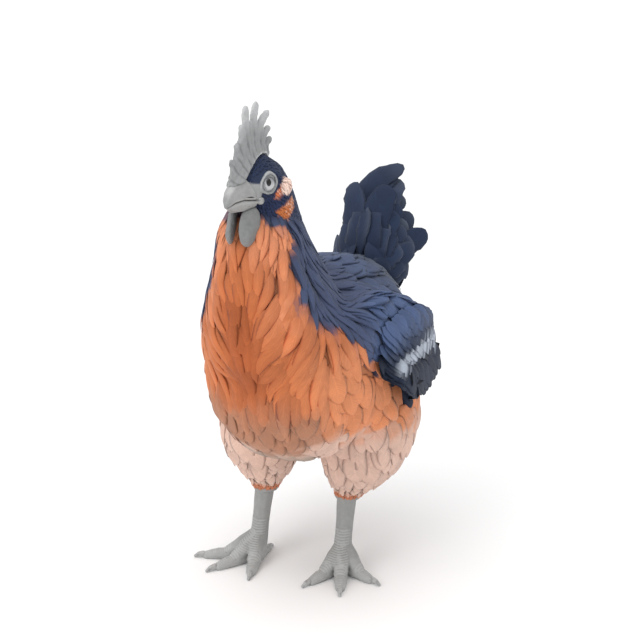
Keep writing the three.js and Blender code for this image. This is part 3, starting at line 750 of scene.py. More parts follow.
class Skin:
    """The finished skin, and what feathers need to know of it."""

    def __init__(self, points, quads, face_uv):
        self.points, self.quads, self.face_uv = points, quads, face_uv
        self.bvh = tree(points, quads)
        self.centres = points[quads].mean(1)
        self.face_normals = unit(vertex_normals(points, quads)[quads].mean(1))
        self.areas = np.linalg.norm(face_crosses(points, quads), axis=1) / 2

    def snap(self, points):
        """The nearest places on the skin, its normals there and the faces' indices."""
        place, _, face, _ = nearest(self.bvh, points)
        return place, self.face_normals[face], face

    def scatter(self, zone, spacing):
        """Roots no closer than `spacing` mm over the faces where zone is true."""
        faces = np.flatnonzero(zone)
        share = self.areas[faces]
        tries = int(share.sum() / spacing**2 * 7) + 8
        face = rng.choice(faces, tries, p=share / share.sum())
        a, b = rng.random((2, tries, 1))
        one, two, three, four = np.moveaxis(self.points[self.quads[face]], 1, 0)
        spots = (one * (1 - a) + two * a) * (1 - b) + (four * (1 - a) + three * a) * b
        # the roots taken so far, by their cell, and which of the spots they are
        taken, kept = {}, []
        cells = np.floor(spots / spacing).astype(int).tolist()
        steps = [(i, j, k) for i in (-1, 0, 1) for j in (-1, 0, 1) for k in (-1, 0, 1)]
        for n, ((i, j, k), (x, y, z)) in enumerate(zip(cells, spots.tolist())):
            near = (taken.get((i + di, j + dj, k + dk)) for di, dj, dk in steps)
            gaps = ((q[0] - x) ** 2 + (q[1] - y) ** 2 + (q[2] - z) ** 2 for q in near if q)
            if all(gap > spacing**2 for gap in gaps):
                taken[i, j, k] = x, y, z
                kept.append(n)
        return spots[kept], self.face_normals[face[kept]], face[kept]


def aside(points, far):
    """The points moved `far` mm outwards, where the markings are the wing's own."""
    return points + np.sign(points[..., :1]) * [far, 0, 0]


def turned(way, normal, angle):
    """The way turned about the normal."""
    c, s = np.cos(angle)[:, None], np.sin(angle)[:, None]
    return way * c + np.cross(normal, way) * s


def spread(count):
    """Random numbers about 0, one for each feather, none of them far out."""
    return rng.normal(size=count).clip(-2, 2)


# What a tract's look says, in mm and degrees: the spacing of the roots; the length and the width,
# the rise of the tip over the skin and the dome of the vane, all made smaller by size; the foot,
# which is the root's height; the spread of yaw and of roll, and how uneven the rise is; tuck, how
# far the tip bends back down. own is the share of the one colour found at colour_at along the
# feather, against the markings along it, and aside how much further out they are looked up. tone
# is the spread of brightness, dark the painted shade at the root and tip_highlight the painted
# highlight towards the tip. pale, groove and thick are as in Plumage.add. Feathers don't reach
# the nodes in clear_of, nor places that spare is true of.
USUAL = dict(
    size=lambda p: np.ones(len(p)), foot=0.2, yaw=6, roll=6, uneven=0.15, tuck=0.0, own=0.8,
    colour_at=0.5, tone=0.07, dark=0.25, tip_highlight=0.1, aside=0, pale=None, groove=0, thick=0.25,
    clear_of=(), spare=lambda p: np.zeros(len(p), bool), shape=leaf,
)


def laid(skin, spots, normal, length, yaw, t):
    """Rows of places along feathers that follow the lie of the coat, and the normals there."""
    centre, over = [spots], [normal]
    for r in range(1, len(t)):
        step = (length * (t[r] - t[r - 1]))[:, None]
        way = turned(lie(centre[-1], over[-1]), over[-1], yaw)
        place, fresh, _ = skin.snap(centre[-1] + way * step)
        centre.append(place)
        over.append(unit(over[-1] + fresh))
    return np.stack(centre, 1), np.stack(over, 1)


def dress(skin, zone, look, rows, across):
    """Feathers over one tract of the skin; look gives their size, lift and colouring."""
    look = USUAL | look
    spots, normal, face = skin.scatter(zone, look["spacing"])
    if look["clear_of"]:
        ahead = spots + lie(spots, normal) * look["length"] * 0.8
        keep = ~np.isin(nearest_node(ahead), look["clear_of"])
        spots, normal, face = spots[keep], normal[keep], face[keep]
    count = len(spots)
    coat = Plumage(rows, across)
    t = coat.t
    size = look["size"](spots)
    length = look["length"] * size * (1 + 0.12 * spread(count))
    width = look["width"] * size * (1 + 0.12 * spread(count))
    yaw = math.radians(look["yaw"]) * spread(count)
    proud = look["rise"] * (1 + look["uneven"] * spread(count)) * size**0.5
    centre, over = laid(skin, spots, normal, length, yaw, t)

    # feathers that fold up in a crease of the skin are left out
    free = np.linalg.norm(centre[:, -1] - centre[:, 0], axis=1) > 0.8 * length * t[-1]
    free &= ~look["spare"](centre.reshape(-1, 3)).reshape(count, rows).any(1)
    centre, over, face, width, size, proud, spots = (
        values[free] for values in (centre, over, face, width, size, proud, spots)
    )
    count = len(spots)
    tuck = look["tuck"]
    lift = look["foot"] + (proud[:, None] - 0.2) * (t * (1 + 1.4 * tuck) - tuck * 1.9 * t**3)[None]
    roll = np.radians(look["roll"]) * spread(count)
    side = unit(np.cross(unit(np.gradient(centre, axis=1)), over))
    side = unit(side + over * np.tan(roll)[:, None, None])

    through = markings(aside(centre, look["aside"]))
    own = through[:, np.abs(t - look["colour_at"]).argmin()]
    colour = mix(through, own[:, None], look["own"])
    tone = 1 + look["tone"] * spread((count, 1, 1))
    # painted shade darkens each feather's root and a painted highlight lightens it towards its tip
    dark = 1 - look["dark"] * (1 - ramp(0, 0.55, t))[None, :, None]
    tip_highlight = 1 + look["tip_highlight"] * ramp(0.35, 0.9, t)[None, :, None]
    colour = np.clip(colour * tone * dark * tip_highlight, 0, 1)
    groove = look["groove"] * rng.random(count) if look["groove"] else None
    pale = look["pale"]
    if pale and callable(pale[0]):
        pale = (pale[0](spots)[:, None, None], pale[1])
    coat.add(
        centre + over * lift[..., None], over, width, look["shape"], look["dome"] * size, colour,
        skin.face_uv[face], look["thick"], side=side, pale=pale, groove=groove,
    )
    return coat


# ---------------------------------------------------------------- materials
class Paint:
    """A Principled material built node by node."""

    def __init__(self, name, **fixed):
        self.made = bpy.data.materials.new(name)
        self.made.use_nodes = True
        self.tree = self.made.node_tree
        self.shader = self.tree.nodes["Principled BSDF"]
        for socket, value in fixed.items():
            self.shader.inputs[socket.replace("_", " ")].default_value = value

    def node(self, kind, *sources, out=0, **settings):
        """Adds a node; sources are links or values for its first sockets, None for one to leave."""
        made = self.tree.nodes.new("ShaderNode" + kind)
        for key, value in settings.items():
            setattr(made, key, value)
        for socket, source in zip(made.inputs, sources):
            if isinstance(source, bpy.types.NodeSocket):
                self.tree.links.new(source, socket)
            elif source is not None:
                socket.default_value = source
        return made.outputs[out]

    def math(self, operation, *sources):
        return self.node("Math", *sources, operation=operation)

    def span(self, value, low, high, to_low=0.0, to_high=1.0):
        """The value taken smoothly from one range to another."""
        ends = low, high, to_low, to_high
        return self.node("MapRange", value, *ends, interpolation_type="SMOOTHSTEP")

    def mottled(self, fine, coarse):
        """The product of two values, each taken from one range to another."""
        return self.product(self.span(*fine), self.span(*coarse))

    def noise(self, place, scale, detail=2.0, rough=0.5):
        return self.node("TexNoise", place, None, scale, detail, rough)

    def scaled(self, vector, factor):
        return self.node("VectorMath", vector, None, None, factor, operation="SCALE")

    def product(self, a, b):
        return self.math("MULTIPLY", a, b)

    def mark(self):
        return self.node("Attribute", attribute_name="Mark")

    def place(self):
        return self.node("TexCoord", out=3)

    def finish(self, colour, bump=None, strength=None, depth=None):
        """Sets the base colour, and a bump of a strength and a depth in metres."""
        self.tree.links.new(colour, self.shader.inputs["Base Color"])
        if bump is not None:
            # the Bump node's sockets: strength, distance, filter width, height
            normal = self.node("Bump", strength, depth, None, bump)
            self.tree.links.new(normal, self.shader.inputs["Normal"])
        return self.made


def plumage(name):
    """Feather vanes: barbs slanting off a shaft, over the markings' colour."""
    paint = Paint(
        name, Roughness=0.66, Specular_IOR_Level=0.25, Sheen_Weight=0.05, Sheen_Roughness=0.4
    )
    flat = paint.node("UVMap", uv_map="Vane")
    across = paint.node("SeparateXYZ", flat)
    along = across.node.outputs[1]
    aside = paint.math("ABSOLUTE", paint.math("SUBTRACT", across, 0.5))
    barb = paint.math("SUBTRACT", paint.product(along, 30.0), paint.product(aside, 17.0))
    barb = paint.node("CombineXYZ", barb, across, 0.0)
    spot = paint.scaled(paint.place(), 55.0)
    barbs = paint.noise(paint.node("VectorMath", barb, spot, operation="ADD"), 2.2, 3.0, 0.65)
    broad = paint.noise(paint.place(), 42.0, 2.0)
    tone = paint.mottled((barbs, 0.25, 0.75, 0.84, 1.12), (broad, 0.3, 0.7, 0.93, 1.07))
    quill = paint.product(paint.span(aside, 0.012, 0.05, 1.0, 0.0), paint.span(along, 0.95, 0.5))
    tone = paint.math("ADD", tone, paint.product(quill, 0.1))
    height = paint.math("ADD", barbs, quill)
    return paint.finish(paint.scaled(paint.mark(), tone), height, 0.35, 0.0003)


def naked(name):
    """Living skin: the markings' colour with fine grain and folds."""
    paint = Paint(name, Roughness=0.58, Specular_IOR_Level=0.35)
    place = paint.place()
    grain = paint.node("TexVoronoi", place, None, 1400.0)
    cloud = paint.noise(place, 260.0, 4.0, 0.6)
    tone = paint.mottled((grain, 0.1, 0.9, 1.03, 0.96), (cloud, 0.3, 0.7, 0.94, 1.05))
    height = paint.math("SUBTRACT", cloud, grain)
    return paint.finish(paint.scaled(paint.mark(), tone), height, 0.4, 0.0003)


def keratin(name, gloss):
    """Beak and claws: smooth horn, streaked along its length; gloss is its roughness."""
    paint = Paint(
        name, Roughness=gloss, Specular_IOR_Level=0.45, Coat_Weight=0.15, Coat_Roughness=0.3
    )
    place = paint.place()
    stretched = paint.node("Mapping", place, None, None, (1.0, 0.16, 0.5))
    streak = paint.noise(stretched, 1300.0, 3.0, 0.55)
    cloud = paint.noise(place, 180.0, 3.0)
    tone = paint.mottled((streak, 0.3, 0.7, 0.93, 1.05), (cloud, 0.3, 0.7, 0.94, 1.05))
    return paint.finish(paint.scaled(paint.mark(), tone), streak, 0.18, 0.0002)


def eyeball():
    """Iris and pupil from the Iris map: its middle is the pupil's, its rim the eye's back."""
    paint = Paint(
        "eye", Roughness=0.2, Specular_IOR_Level=0.3, Coat_Weight=0.4, Coat_Roughness=0.03
    )
    flat = paint.node("UVMap", uv_map="Iris")
    across = paint.node("SeparateXYZ", flat)
    x = paint.math("SUBTRACT", across, 0.5)
    y = paint.math("SUBTRACT", across.node.outputs[1], 0.5)
    tall = paint.product(y, 0.62)
    out, pupil = (
        paint.math("SQRT", paint.math("ADD", paint.product(x, x), paint.product(up, up)))
        for up in (y, tall)
    )
    turn = paint.math("ARCTAN2", y, x)
    rays = paint.node("CombineXYZ", paint.product(turn, 6.0), paint.product(out, 8.0), 0.0)
    rays = paint.noise(rays, 3.0, 3.0)
    # painted shadow: the iris darker towards its top, under the lid, and lighter below
    # the Mix node's sockets: factor, four that a colour doesn't use, and the two colours
    iris = paint.node(
        "Mix", paint.span(y, -0.12, 0.12), None, None, None, None, None,
        (0.56, 0.57, 0.58, 1), (0.2, 0.21, 0.23, 1), data_type="RGBA", out=2,
    )
    iris = paint.scaled(iris, paint.span(rays, 0.3, 0.7, 0.75, 1.2))
    iris = paint.scaled(iris, paint.span(out, 0.3, 0.22, 0.25, 1.0))
    iris = paint.scaled(iris, paint.span(pupil, 0.046, 0.054, 0.01, 1.0))
    return paint.finish(iris)


def studio_floor():
    """Plain pale paper, very slightly clouded."""
    paint = Paint("studio_floor", Roughness=0.8, Specular_IOR_Level=0.1)
    tone = paint.span(paint.noise(paint.place(), 3.0, 2.0), 0.3, 0.7, 0.93, 0.95)
    return paint.finish(paint.node("CombineColor", tone, tone, tone))


PLUMAGE = {tone: plumage("plumage_" + tone) for tone in ("orange", "navy", "slate", "cream")}
NAKED, HORN, CLAW = naked("bare_skin"), keratin("horn", 0.42), keratin("claw_horn", 0.38)


# ---------------------------------------------------------------- the skin
def leg_tone(points):
    """Grey legs that pale towards the toes."""
    return mix(LEG, LEG_EDGE, 0.6 * ramp(14, 4, points[:, 2]))


def skin_colour(points):
    """The markings, a little darker than on the feathers, the bare face and the legs."""
    leg = ramp(70, 66, points[:, 2])
    colour = layered(0.8 * markings(points), (BARE, bare_face(points)), (leg_tone(points), leg))
    return with_alpha(colour, leg)


UNWRAP_ANGLE = 1.15  # radians between faces of one island


def unwrap(piece):
    """Gives the piece its OFBake map; returns the middle of each quad there."""
    bpy.context.view_layer.objects.active = piece
    piece.data.uv_layers.new(name="OFBake")
    piece.select_set(True)
    bpy.ops.object.mode_set(mode="EDIT")
    bpy.ops.mesh.select_all(action="SELECT")
    bpy.ops.uv.smart_project(angle_limit=UNWRAP_ANGLE, island_margin=0.001)
    bpy.ops.object.mode_set(mode="OBJECT")
    piece.select_set(False)
    flat = read(piece.data.uv_layers["OFBake"].data, "uv", 2)
    return flat.reshape(-1, 4, 2).mean(1)


points, quads = skin_shape()
colour = skin_colour(points)
skin_piece = make_piece("skin", points, [quads], NAKED, colour=colour)
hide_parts(*FLESH, *LIMBS)
skin = Skin(points, quads, unwrap(skin_piece))

# ---------------------------------------------------------------- tracts
COAT_NODES = FLESH + LIMBS + ["tail"]
COAT_SHAPES = [cad_shape(node) for node in COAT_NODES]
COAT_OWNER = np.repeat(COAT_NODES, [len(faces) for _, faces in COAT_SHAPES])
COAT_TREE = tree(*joined(COAT_SHAPES))
WINGS, THIGHS = ["wing_left", "wing_right"], ["thigh_left", "thigh_right"]
WING_ASIDE = 18.0  # the wings' markings are those this far out from the skin


def nearest_node(at):
    """The name of the CAD node nearest to each place."""
    return COAT_OWNER[nearest(COAT_TREE, at)[2]]


def on_the_lids(p):
    """Where the lids lie, which no feather covers."""
    _, along, up = head_places(p)
    return oval(along, up, (-3.0, 1.4), (11.4, 9.6)) < 1


def tracts(p):
    """The tracts that the middles of the skin's faces are in, by name."""
    node = nearest_node(p)
    out, y, z = np.abs(p[:, 0]), p[:, 1], p[:, 2]
    side, along, up = head_places(p)
    navy = navy_share(p) > 0.5
    covered = (bare_face(p) < 0.4) & (z > 70)
    lidded = oval(along, up, (-3.2, 1.6), (11.5, 9.6)) < 1
    head = (up > -24 - 0.45 * along) & (z > 355) & covered & ~lidded
    ear = head & (oval(along - 0.15 * up, up, (17.6, -4), (6, 7.5)) < 1.05) & (side > 12)
    wing = np.isin(node, WINGS) & (out > 60)
    thigh = np.isin(node, THIGHS) & (z < 168)
    neck = (((z > 268) & (y < -18)) | (node == "neck")) & ~head
    body = covered & ~head & ~wing & ~thigh & ~lidded
    upper, lower = body & navy, body & ~navy
    bib = lower & (z > 216) & (y < -62) & (out < 58)
    vent = lower & (y > 66)
    under_wing = (z > 172) & (y > -6) & (out > 62)
    over_thigh = (z >= 122) | (y <= -20)
    return {
        "face": head & ~ear,
        "ear": ear,
        "hackle": upper & neck,
        "bib": bib,
        "throat": lower & (z > 326) & (y < -40),
        "belly": lower & ~bib & ~vent & ~under_wing & over_thigh,
        "thigh": (thigh & covered & (z >= 76)) | (body & (z < 122) & (z >= 76) & (y > -20)),
        "hock": ((thigh & covered) | body) & (z < 75),
        "vent": vent & over_thigh,
        "back": upper & ~neck & (y <= 70),
        "saddle": upper & ~neck & (y > 70),
        "wing": wing & covered,
    }


def up_the_neck(p):
    """Feathers get smaller towards the head."""
    return np.interp(p[:, 2], [250, 300, 350, 385], [1.0, 0.95, 0.7, 0.52])


def to_the_hock(p):
    """Feathers get smaller down the thigh."""
    return np.interp(p[:, 2], [76, 92, 125], [0.22, 0.55, 1.0])


def scalloped(p):
    """How pale a feather's rim is: palest low on the flanks."""
    return 0.5 * ramp(-60, 0, p[:, 1]) * ramp(225, 185, p[:, 2]) * rng.random(len(p))


def silvered(p):
    """How pale a saddle feather's rim is: not at all on the root of the tail."""
    return 0.3 * ramp(146, 130, p[:, 1])


# Each tract's plumage, look, and rows and points across of its feathers.
LOOKS = {
    "face": ("navy", 4, 3, dict(
        length=5.5, width=3.8, spacing=1.9, rise=0.5, foot=0.05, dome=0.12, dark=0.05, thick=0.1,
        tone=0.03, tip_highlight=0.04, own=0.15, spare=on_the_lids,
    )),
    "ear": ("cream", 5, 3, dict(
        length=6, width=3.2, spacing=1.6, rise=0.9, foot=0.1, dome=0.25, dark=0.05, thick=0.1,
        yaw=4, own=0.1, tone=0.03,
    )),
    "hackle": ("navy", 11, 5, dict(
        length=46, width=13, spacing=5.0, rise=3.6, foot=0.3, dome=0.9, shape=lance,
        size=up_the_neck, colour_at=0.35, own=0.2, dark=0.1, tone=0.05, tuck=0.25,
    )),
    "bib": ("orange", 12, 7, dict(
        length=56, width=20, spacing=7.6, rise=3.9, dome=3.2, shape=lance, size=up_the_neck,
        dark=0.2, tone=0.05, tip_highlight=0.14, yaw=5, uneven=0.28, tuck=0.65, own=0.4, groove=0.9,
        clear_of=WINGS,
    )),
    "throat": ("orange", 8, 5, dict(
        length=19, width=7.5, spacing=3.6, rise=1.8, dome=0.8, shape=lance, tuck=0.4, dark=0.15,
        own=0.25, groove=0.5,
    )),
    "belly": ("orange", 10, 7, dict(
        length=38, width=28, spacing=9.4, rise=4.5, foot=0.3, dome=1.6, dark=0.04, tip_highlight=0.08,
        own=0.1, tone=0.025, pale=(scalloped, CREAM), clear_of=WINGS, roll=4, tuck=0.12,
    )),
    "thigh": ("cream", 9, 7, dict(
        length=30, width=22, spacing=7.4, rise=3.9, dome=1.5, dark=0.05, own=0.15, tone=0.025,
        tip_highlight=0.08, size=to_the_hock, roll=4, tuck=0.12, pale=(0.35, RIM_LIGHT),
    )),
    "hock": ("orange", 5, 3, dict(
        length=3.6, width=2.6, spacing=1.4, rise=0.5, dome=0.3, own=0.2, dark=0.05,
    )),
    "vent": ("cream", 8, 5, dict(
        length=28, width=18, spacing=7, rise=3.6, dome=1.3, yaw=9, dark=0.15, tuck=0.2,
    )),
    "back": ("navy", 8, 5, dict(
        length=38, width=22, spacing=8.0, rise=2.8, foot=0.3, dome=0.9, dark=0.1, own=0.25, roll=4,
    )),
    "saddle": ("slate", 9, 5, dict(
        length=44, width=11, spacing=6.0, rise=2.8, dome=1.0, shape=lance,
        pale=(silvered, WING_BAR), dark=0.2, tuck=0.3,
    )),
    "wing": ("navy", 9, 5, dict(
        length=36, width=22, spacing=8.0, rise=2.2, foot=0.3, dome=0.8, tone=0.04, dark=0.08,
        own=0.15, uneven=0.08, roll=3, aside=WING_ASIDE,
        clear_of=["trunk", *THIGHS, "tail"],
    )),
}
TRACTS = tracts(skin.centres)
for name, (kind, rows, across, look) in LOOKS.items():
    coat = dress(skin, TRACTS[name], look, rows, across)
    coat.make(name + "_feathers", "plumage_" + kind, PLUMAGE[kind])


# ---------------------------------------------------------------- wing and tail
def point_at(side, place):
    """Places on the bird's left, or with side -1 their twins on the right."""
    x, y, z = place
    return np.stack(np.broadcast_arrays(side * x, y, z), -1)


class Quills(Plumage):
    """Stiff feathers, each set out straight from its root to its tip."""

    def lay(
        self, root, tip, face, width, tone, bow, dome, ragged, shape=rounded, pale=None, sweep=0.0,
        shade=0.75, on_wing=None,
    ):
        """Adds feathers whose vanes face a way; bow is how far they arch and sweep how far they
        swing aside on the way to the tip, shade their root's tone, a painted shade that lightens
        towards the tip, and on_wing a side and a height over the wing. Without a tone they have the
        wing's markings."""
        root, tip = np.atleast_2d(root), np.atleast_2d(tip)
        count = len(root)
        along = unit(tip - root)
        across = unit(np.cross(along, face))
        out = np.cross(across, along)
        t = self.t[None, :, None]
        arch = 4 * t * (1 - t) * np.asarray(bow)
        centre = root[:, None] + (tip - root)[:, None] * t + out[:, None] * arch
        centre = centre + across[:, None] * (np.asarray(sweep) * (t**3 - t))
        if on_wing:
            centre = self.draped(centre, *on_wing)
        if tone is None:
            tone = markings(aside(centre, WING_ASIDE))
        own = 1 + 0.08 * spread((count, 1, 1))
        # painted shade at each feather's root, lightening to a little over its own tone at the tip
        towards_tip = shade + (1.07 - shade) * ramp(0, 0.6, t)
        colour = np.broadcast_to(tone, centre.shape) * own * towards_tip
        place = skin.face_uv[skin.snap(root)[2]]
        self.add(
            centre, np.repeat(out[:, None], self.rows, 1), np.broadcast_to(width, count), shape,
            np.full(count, dome), np.clip(colour, 0, 1), place, 0.35, ragged, pale=pale,
        )

    def draped(self, centre, side, lift):
        """The feathers' middles brought to the outer face of the folded wing, `lift` mm over it."""
        for feather in centre:
            out = WING_OUT
            for place in feather:
                outside = Vector((side * 130.0, place[1], place[2]))
                hit = COAT_TREE.ray_cast(outside, Vector((-side, 0, 0)), 60)[0]
                out = abs(hit[0]) if hit is not None and abs(hit[0]) > out - 5 else out
                place[0] = side * out
            feather[:, 0] = np.convolve(np.pad(feather[:, 0], 2, "edge"), np.full(5, 0.2), "valid")
            feather[:, 0] += side * (lift * ramp(0.0, 0.6, self.t) - 1.6 * ramp(0.3, 0.0, self.t))
        return centre


QUILL_ROWS, QUILL_ACROSS = 12, 9
WING_OUT = 84.0  # how far out the folded wing's face is where nothing is met
TAIL_ROOT = np.array([0, 128, 258.0])
# Layers of tail feathers in pairs, from those within to those that lap over them: how far out the
# layer is, the feathers' width, how far they swing aside, the way their vanes face at the top and
# at the foot of the tail, and their tips from the top down.
TAIL = [
    (0, 32, 26, ((0.3, -1, 0.3), (1, -0.5, 0)), [
        (16, 188, 340), (19, 193, 324), (26, 195, 303), (46, 184, 287), (31, 182, 268),
        (28, 178, 252),
    ]),
    (4, 31, 20, ((0.3, -1, 0.3), (1, -0.7, 0.1)), [
        (12, 172, 337), (20, 176, 321), (28, 178, 303), (38, 171, 285), (34, 170, 266),
        (29, 168, 250),
    ]),
    (7, 30, 14, ((0.35, -1, 0.3), (0.9, -0.8, 0.2)), [
        (21, 152, 344), (13, 156, 330), (25, 152, 318), (33, 155, 301), (41, 156, 281),
        (35, 158, 264),
    ]),
    (11, 28, 9, ((0.2, -1, 0.3), (0.8, -0.9, 0.3)), [
        (7, 142, 326), (18, 142, 312), (27, 144, 299), (35, 147, 285), (11, 134, 300),
        (24, 138, 285), (36, 149, 270),
    ]),
]
# The topmost feathers, which curl over to the left: the tip, the width and the swing.
CURLED = [((18, 190, 357), 34, 66), ((12, 187, 349), 34, 46), ((2, 181, 347), 30, 34)]


def tail_feathers():
    """Layers of feathers in pairs, the coverts behind them and the curled ones on top."""
    quills = Quills(QUILL_ROWS, QUILL_ACROSS)
    for side in SIDES.values():
        for out, wide, sweep, faces, tips in TAIL:
            top, foot = np.array(faces) * [side, 1, 1]
            for low, tip in zip(np.arange(len(tips)) / (len(tips) - 1), tips):
                root = TAIL_ROOT + [side * (2 + 8 * low + 0.7 * out), 8 - 1.1 * out, 8 - 12 * low]
                tip = np.array(tip) * [side, 1, 1] + 2.0 * rng.normal(size=3).clip(-1, 1)
                rim = (0.3 * rng.random() ** 2, WING_BAR * 0.5)
                size = wide * (1.2 - 0.25 * low) * (1 + 0.06 * rng.normal())
                tone = TAIL_TONE * (1 + 0.12 * rng.random())
                swing = side * sweep * (1 - 0.5 * low)
                quills.lay(
                    root, tip, top + (foot - top) * low, size, tone, 3.0 + 0.3 * out, 1.6, 0.25,
                    pale=rim, sweep=swing,
                )
        # coverts that close the tail's back
        for row in range(2):
            low = np.linspace(0, 1, 6)
            root = TAIL_ROOT + point_at(side, (1 + 19 * low, 14 + 2 * row, -4 - 12 * low - 7 * row))
            tip = root + point_at(side, (2 + 10 * low, 26 - 6 * low, 54 - 16 * low - 8 * row))
            quills.lay(root, tip, (0.5 * side, 1, -0.5), 20, TAIL_TONE * 1.1, 3.0, 1.6, 0.2)
    for tip, width, sweep in CURLED:
        quills.lay(
            TAIL_ROOT + [0, 8, 8], tip, (0.3, -1, 0.4), width, TAIL_TONE, 4.0, 1.6, 0.3,
            pale=(0.1, WING_BAR * 0.5), sweep=sweep,
        )
    return quills


# The flight feathers' tips along the wing, and their layers: the count, and how far back and up
# each is from the first.
FLIGHT_Y, FLIGHT_Z = [-8, 12, 29, 60, 106], [205, 190, 179, 173, 180]
FLIGHT = [(12, 0, 0), (11, -5, 5)]
# Rows of coverts, which carry the bar: the count, the tips' height from it, the width, the lift.
COVERTS = [(24, -13, 17, 2.2), (24, 2, 17, 2.6), (22, 17, 18, 2.8)]


def wing_quills():
    """Each wing's flight feathers, the hindmost lowest, and the coverts over them."""
    quills = Quills(QUILL_ROWS, QUILL_ACROSS)
    for side in SIDES.values():
        for layer, (count, reach, low) in enumerate(FLIGHT):
            t = np.linspace(0, 1, count)
            y = -4 + reach + 112 * t
            tip = point_at(side, (95, y, low + np.interp(y, FLIGHT_Y, FLIGHT_Z)))
            tip = tip + 2.0 * rng.normal(size=(count, 3)).clip(-1, 1) * np.array([0, 1, 1])
            root = tip + point_at(side, (0, -20 - 22 * t, 26 + 16 * t))
            quills.lay(
                root, tip, (side, 0.1, 0.05), 25, WING_DARK * 1.1, 0, 0.8, 0.12, leaf,
                on_wing=(side, 0.9 + 0.9 * layer),
            )
        for count, drop, wide, lift in COVERTS:
            t = np.linspace(0, 1, count)
            y = -3 + 107 * t + 1.5 * rng.normal(size=count).clip(-1, 1)
            edge = np.interp(y, BAR_Y, BAR_Z) + drop + 2.5 * rng.normal(size=count).clip(-1.3, 1.3)
            tip = point_at(side, (95, y, edge))
            root = tip + point_at(side, (0, -24 - 8 * t, 26 - 6 * t))
            quills.lay(
                root, tip, (side, 0.1, 0.1), wide, None, 0, 0.6, 0.25, leaf, shade=0.95,
                on_wing=(side, lift),
            )
    return quills


tail_feathers().make("tail_feathers", "plumage_slate", PLUMAGE["slate"])
wing_quills().make("wing_quills", "plumage_navy", PLUMAGE["navy"])
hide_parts("tail")


# ---------------------------------------------------------------- comb, bill, wattles and claws
COMB = srgb(150, 151, 152)
COMB_TIP = srgb(190, 191, 192)
COMB_DARK = srgb(118, 119, 120)
COMB_FOOT_HIGHLIGHT = srgb(226, 227, 228)
BILL = srgb(152, 153, 152)
BILL_HIGHLIGHT = srgb(172, 173, 172)
SLIT_SHADE = srgb(44, 43, 42)
WATTLE = srgb(130, 131, 131)
HORN_TIP = srgb(120, 121, 122)
LID = srgb(146, 148, 149)
LID_DARK = srgb(98, 100, 103)
LID_PALE = srgb(172, 174, 175)
COMB_VOXEL, BILL_VOXEL, WATTLE_VOXEL, CLAW_VOXEL = 0.6, 0.5, 0.65, 0.4  # widths of their quads


def refined(nodes, grow, size, rounds, extra=()):
    """CAD nodes grown, joined with more shapes, remeshed `size` mm wide and eased."""
    points, quads = voxel(joined([cad_shape(node, grow) for node in nodes] + list(extra)), size)
    return eased(points, quads, rounds), quads


# The comb's fingers: where the base and the tip stand, forward of the eyes and up from them, the
# lean to the left and the half length at the base; and the blade's top.
FINGERS = [
    (27, (31, 21), 0, 4.0), (20, (24, 35), 1, 4.5), (13, (16, 49), 0, 4.5),
    (8, (10.5, 64), 1, 5.5), (-2, (-8, 64.5), 0, 5.5), (-10, (-20, 56), 4, 5.5),
    (-15, (-23, 42), 3, 4.5), (-20, (-28, 32), 1, 4.5),
]
COMB_TOP = ([-24, -12, 0, 12, 22, 32], [29, 43, 50, 45, 30, 12])


def comb_finger(base, tip, lean, reach):
    """A blunt finger, flattened and rounded at its end."""
    low = np.interp(base, *COMB_TOP) - 7
    start, end = np.array([0, -base, low]), np.array([lean, -tip[0], tip[1]])
    bend = np.array([0, -base - (tip[0] - base) * 0.25, low + (tip[1] - low) * 0.6])
    turn = around(16)[:, None]
    rings = []
    for t in np.append(np.linspace(0, 0.8, 6), 0.8 + 0.24 * np.sin(np.linspace(0.2, 1.5, 6))):
        centre = (1 - t) ** 2 * start + 2 * t * (1 - t) * bend + t * t * end
        along = unit((1 - t) * (bend - start) + t * (end - bend))
        over = unit(np.cross([1, 0, 0], along))
        closing = math.sqrt(max(1 - ((max(t, 0.8) - 0.8) / 0.245) ** 2, 0.01))
        wide = np.interp(t, [0, 0.5, 0.8], [3.0, 2.7, 2.5]) * closing
        deep = np.interp(t, [0, 0.5, 0.8], [reach, 0.8 * reach, 0.72 * reach]) * closing
        across = np.cross(along, over)
        rings.append(centre + wide * np.cos(turn) * across + deep * np.sin(turn) * over)
    return loft(from_head(rings))


def make_comb():
    """The comb: its solid with fuller fingers, finely folded, with painted shade in the folds'
    grooves and a painted highlight along its foot.
    """
    points, quads = refined(["comb"], 0.3, COMB_VOXEL, 14, [comb_finger(*one) for one in FINGERS])
    _, along, up = head_places(points)
    ahead = -along
    # folds that fan out from the comb's foot
    turn = np.arctan2(ahead, up + 22)
    streak = np.sin(34 * turn + 1.6 * np.sin(up / 7)) * (0.6 + 0.4 * ripple(points, 17))
    streak = streak + 0.5 * np.sin(71 * turn + up / 9)
    points = points + 0.22 * streak[:, None] * vertex_normals(points, quads)
    points = points + 0.25 * ripple(points, 8)[:, None] * vertex_normals(points, quads)
    far = nearest(skin.bvh, points)[3]
    colour = layered(
        COMB,
        # painted shade in the grooves of the folds, low on the comb
        (COMB_DARK, 0.8 * ramp(0.1, -1.2, streak) * ramp(60, 30, up)),
        (COMB_TIP, ramp(40, 62, up + 0.5 * np.abs(ahead - 2)) * 0.9),
        # painted highlight along the comb's foot, next to the skin, towards the back
        (COMB_FOOT_HIGHLIGHT, ramp(4.2, 1.6, far + 0.5 * ripple(points, 6)) * ramp(16, 6, ahead)),
    )
    piece = make_solid("comb_flesh", points, quads, NAKED, colour)
    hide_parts("comb")


GAPE = to_head(np.array([4.0, -97, 381]))  # the mouth's left corner
# The mouth's line, forward of the eyes and up from them.
MOUTH_AHEAD, MOUTH_UP = [0, 14, 28, 34, 38, 42], [-12, -12.6, -13.4, -14.6, -16.2, -19]


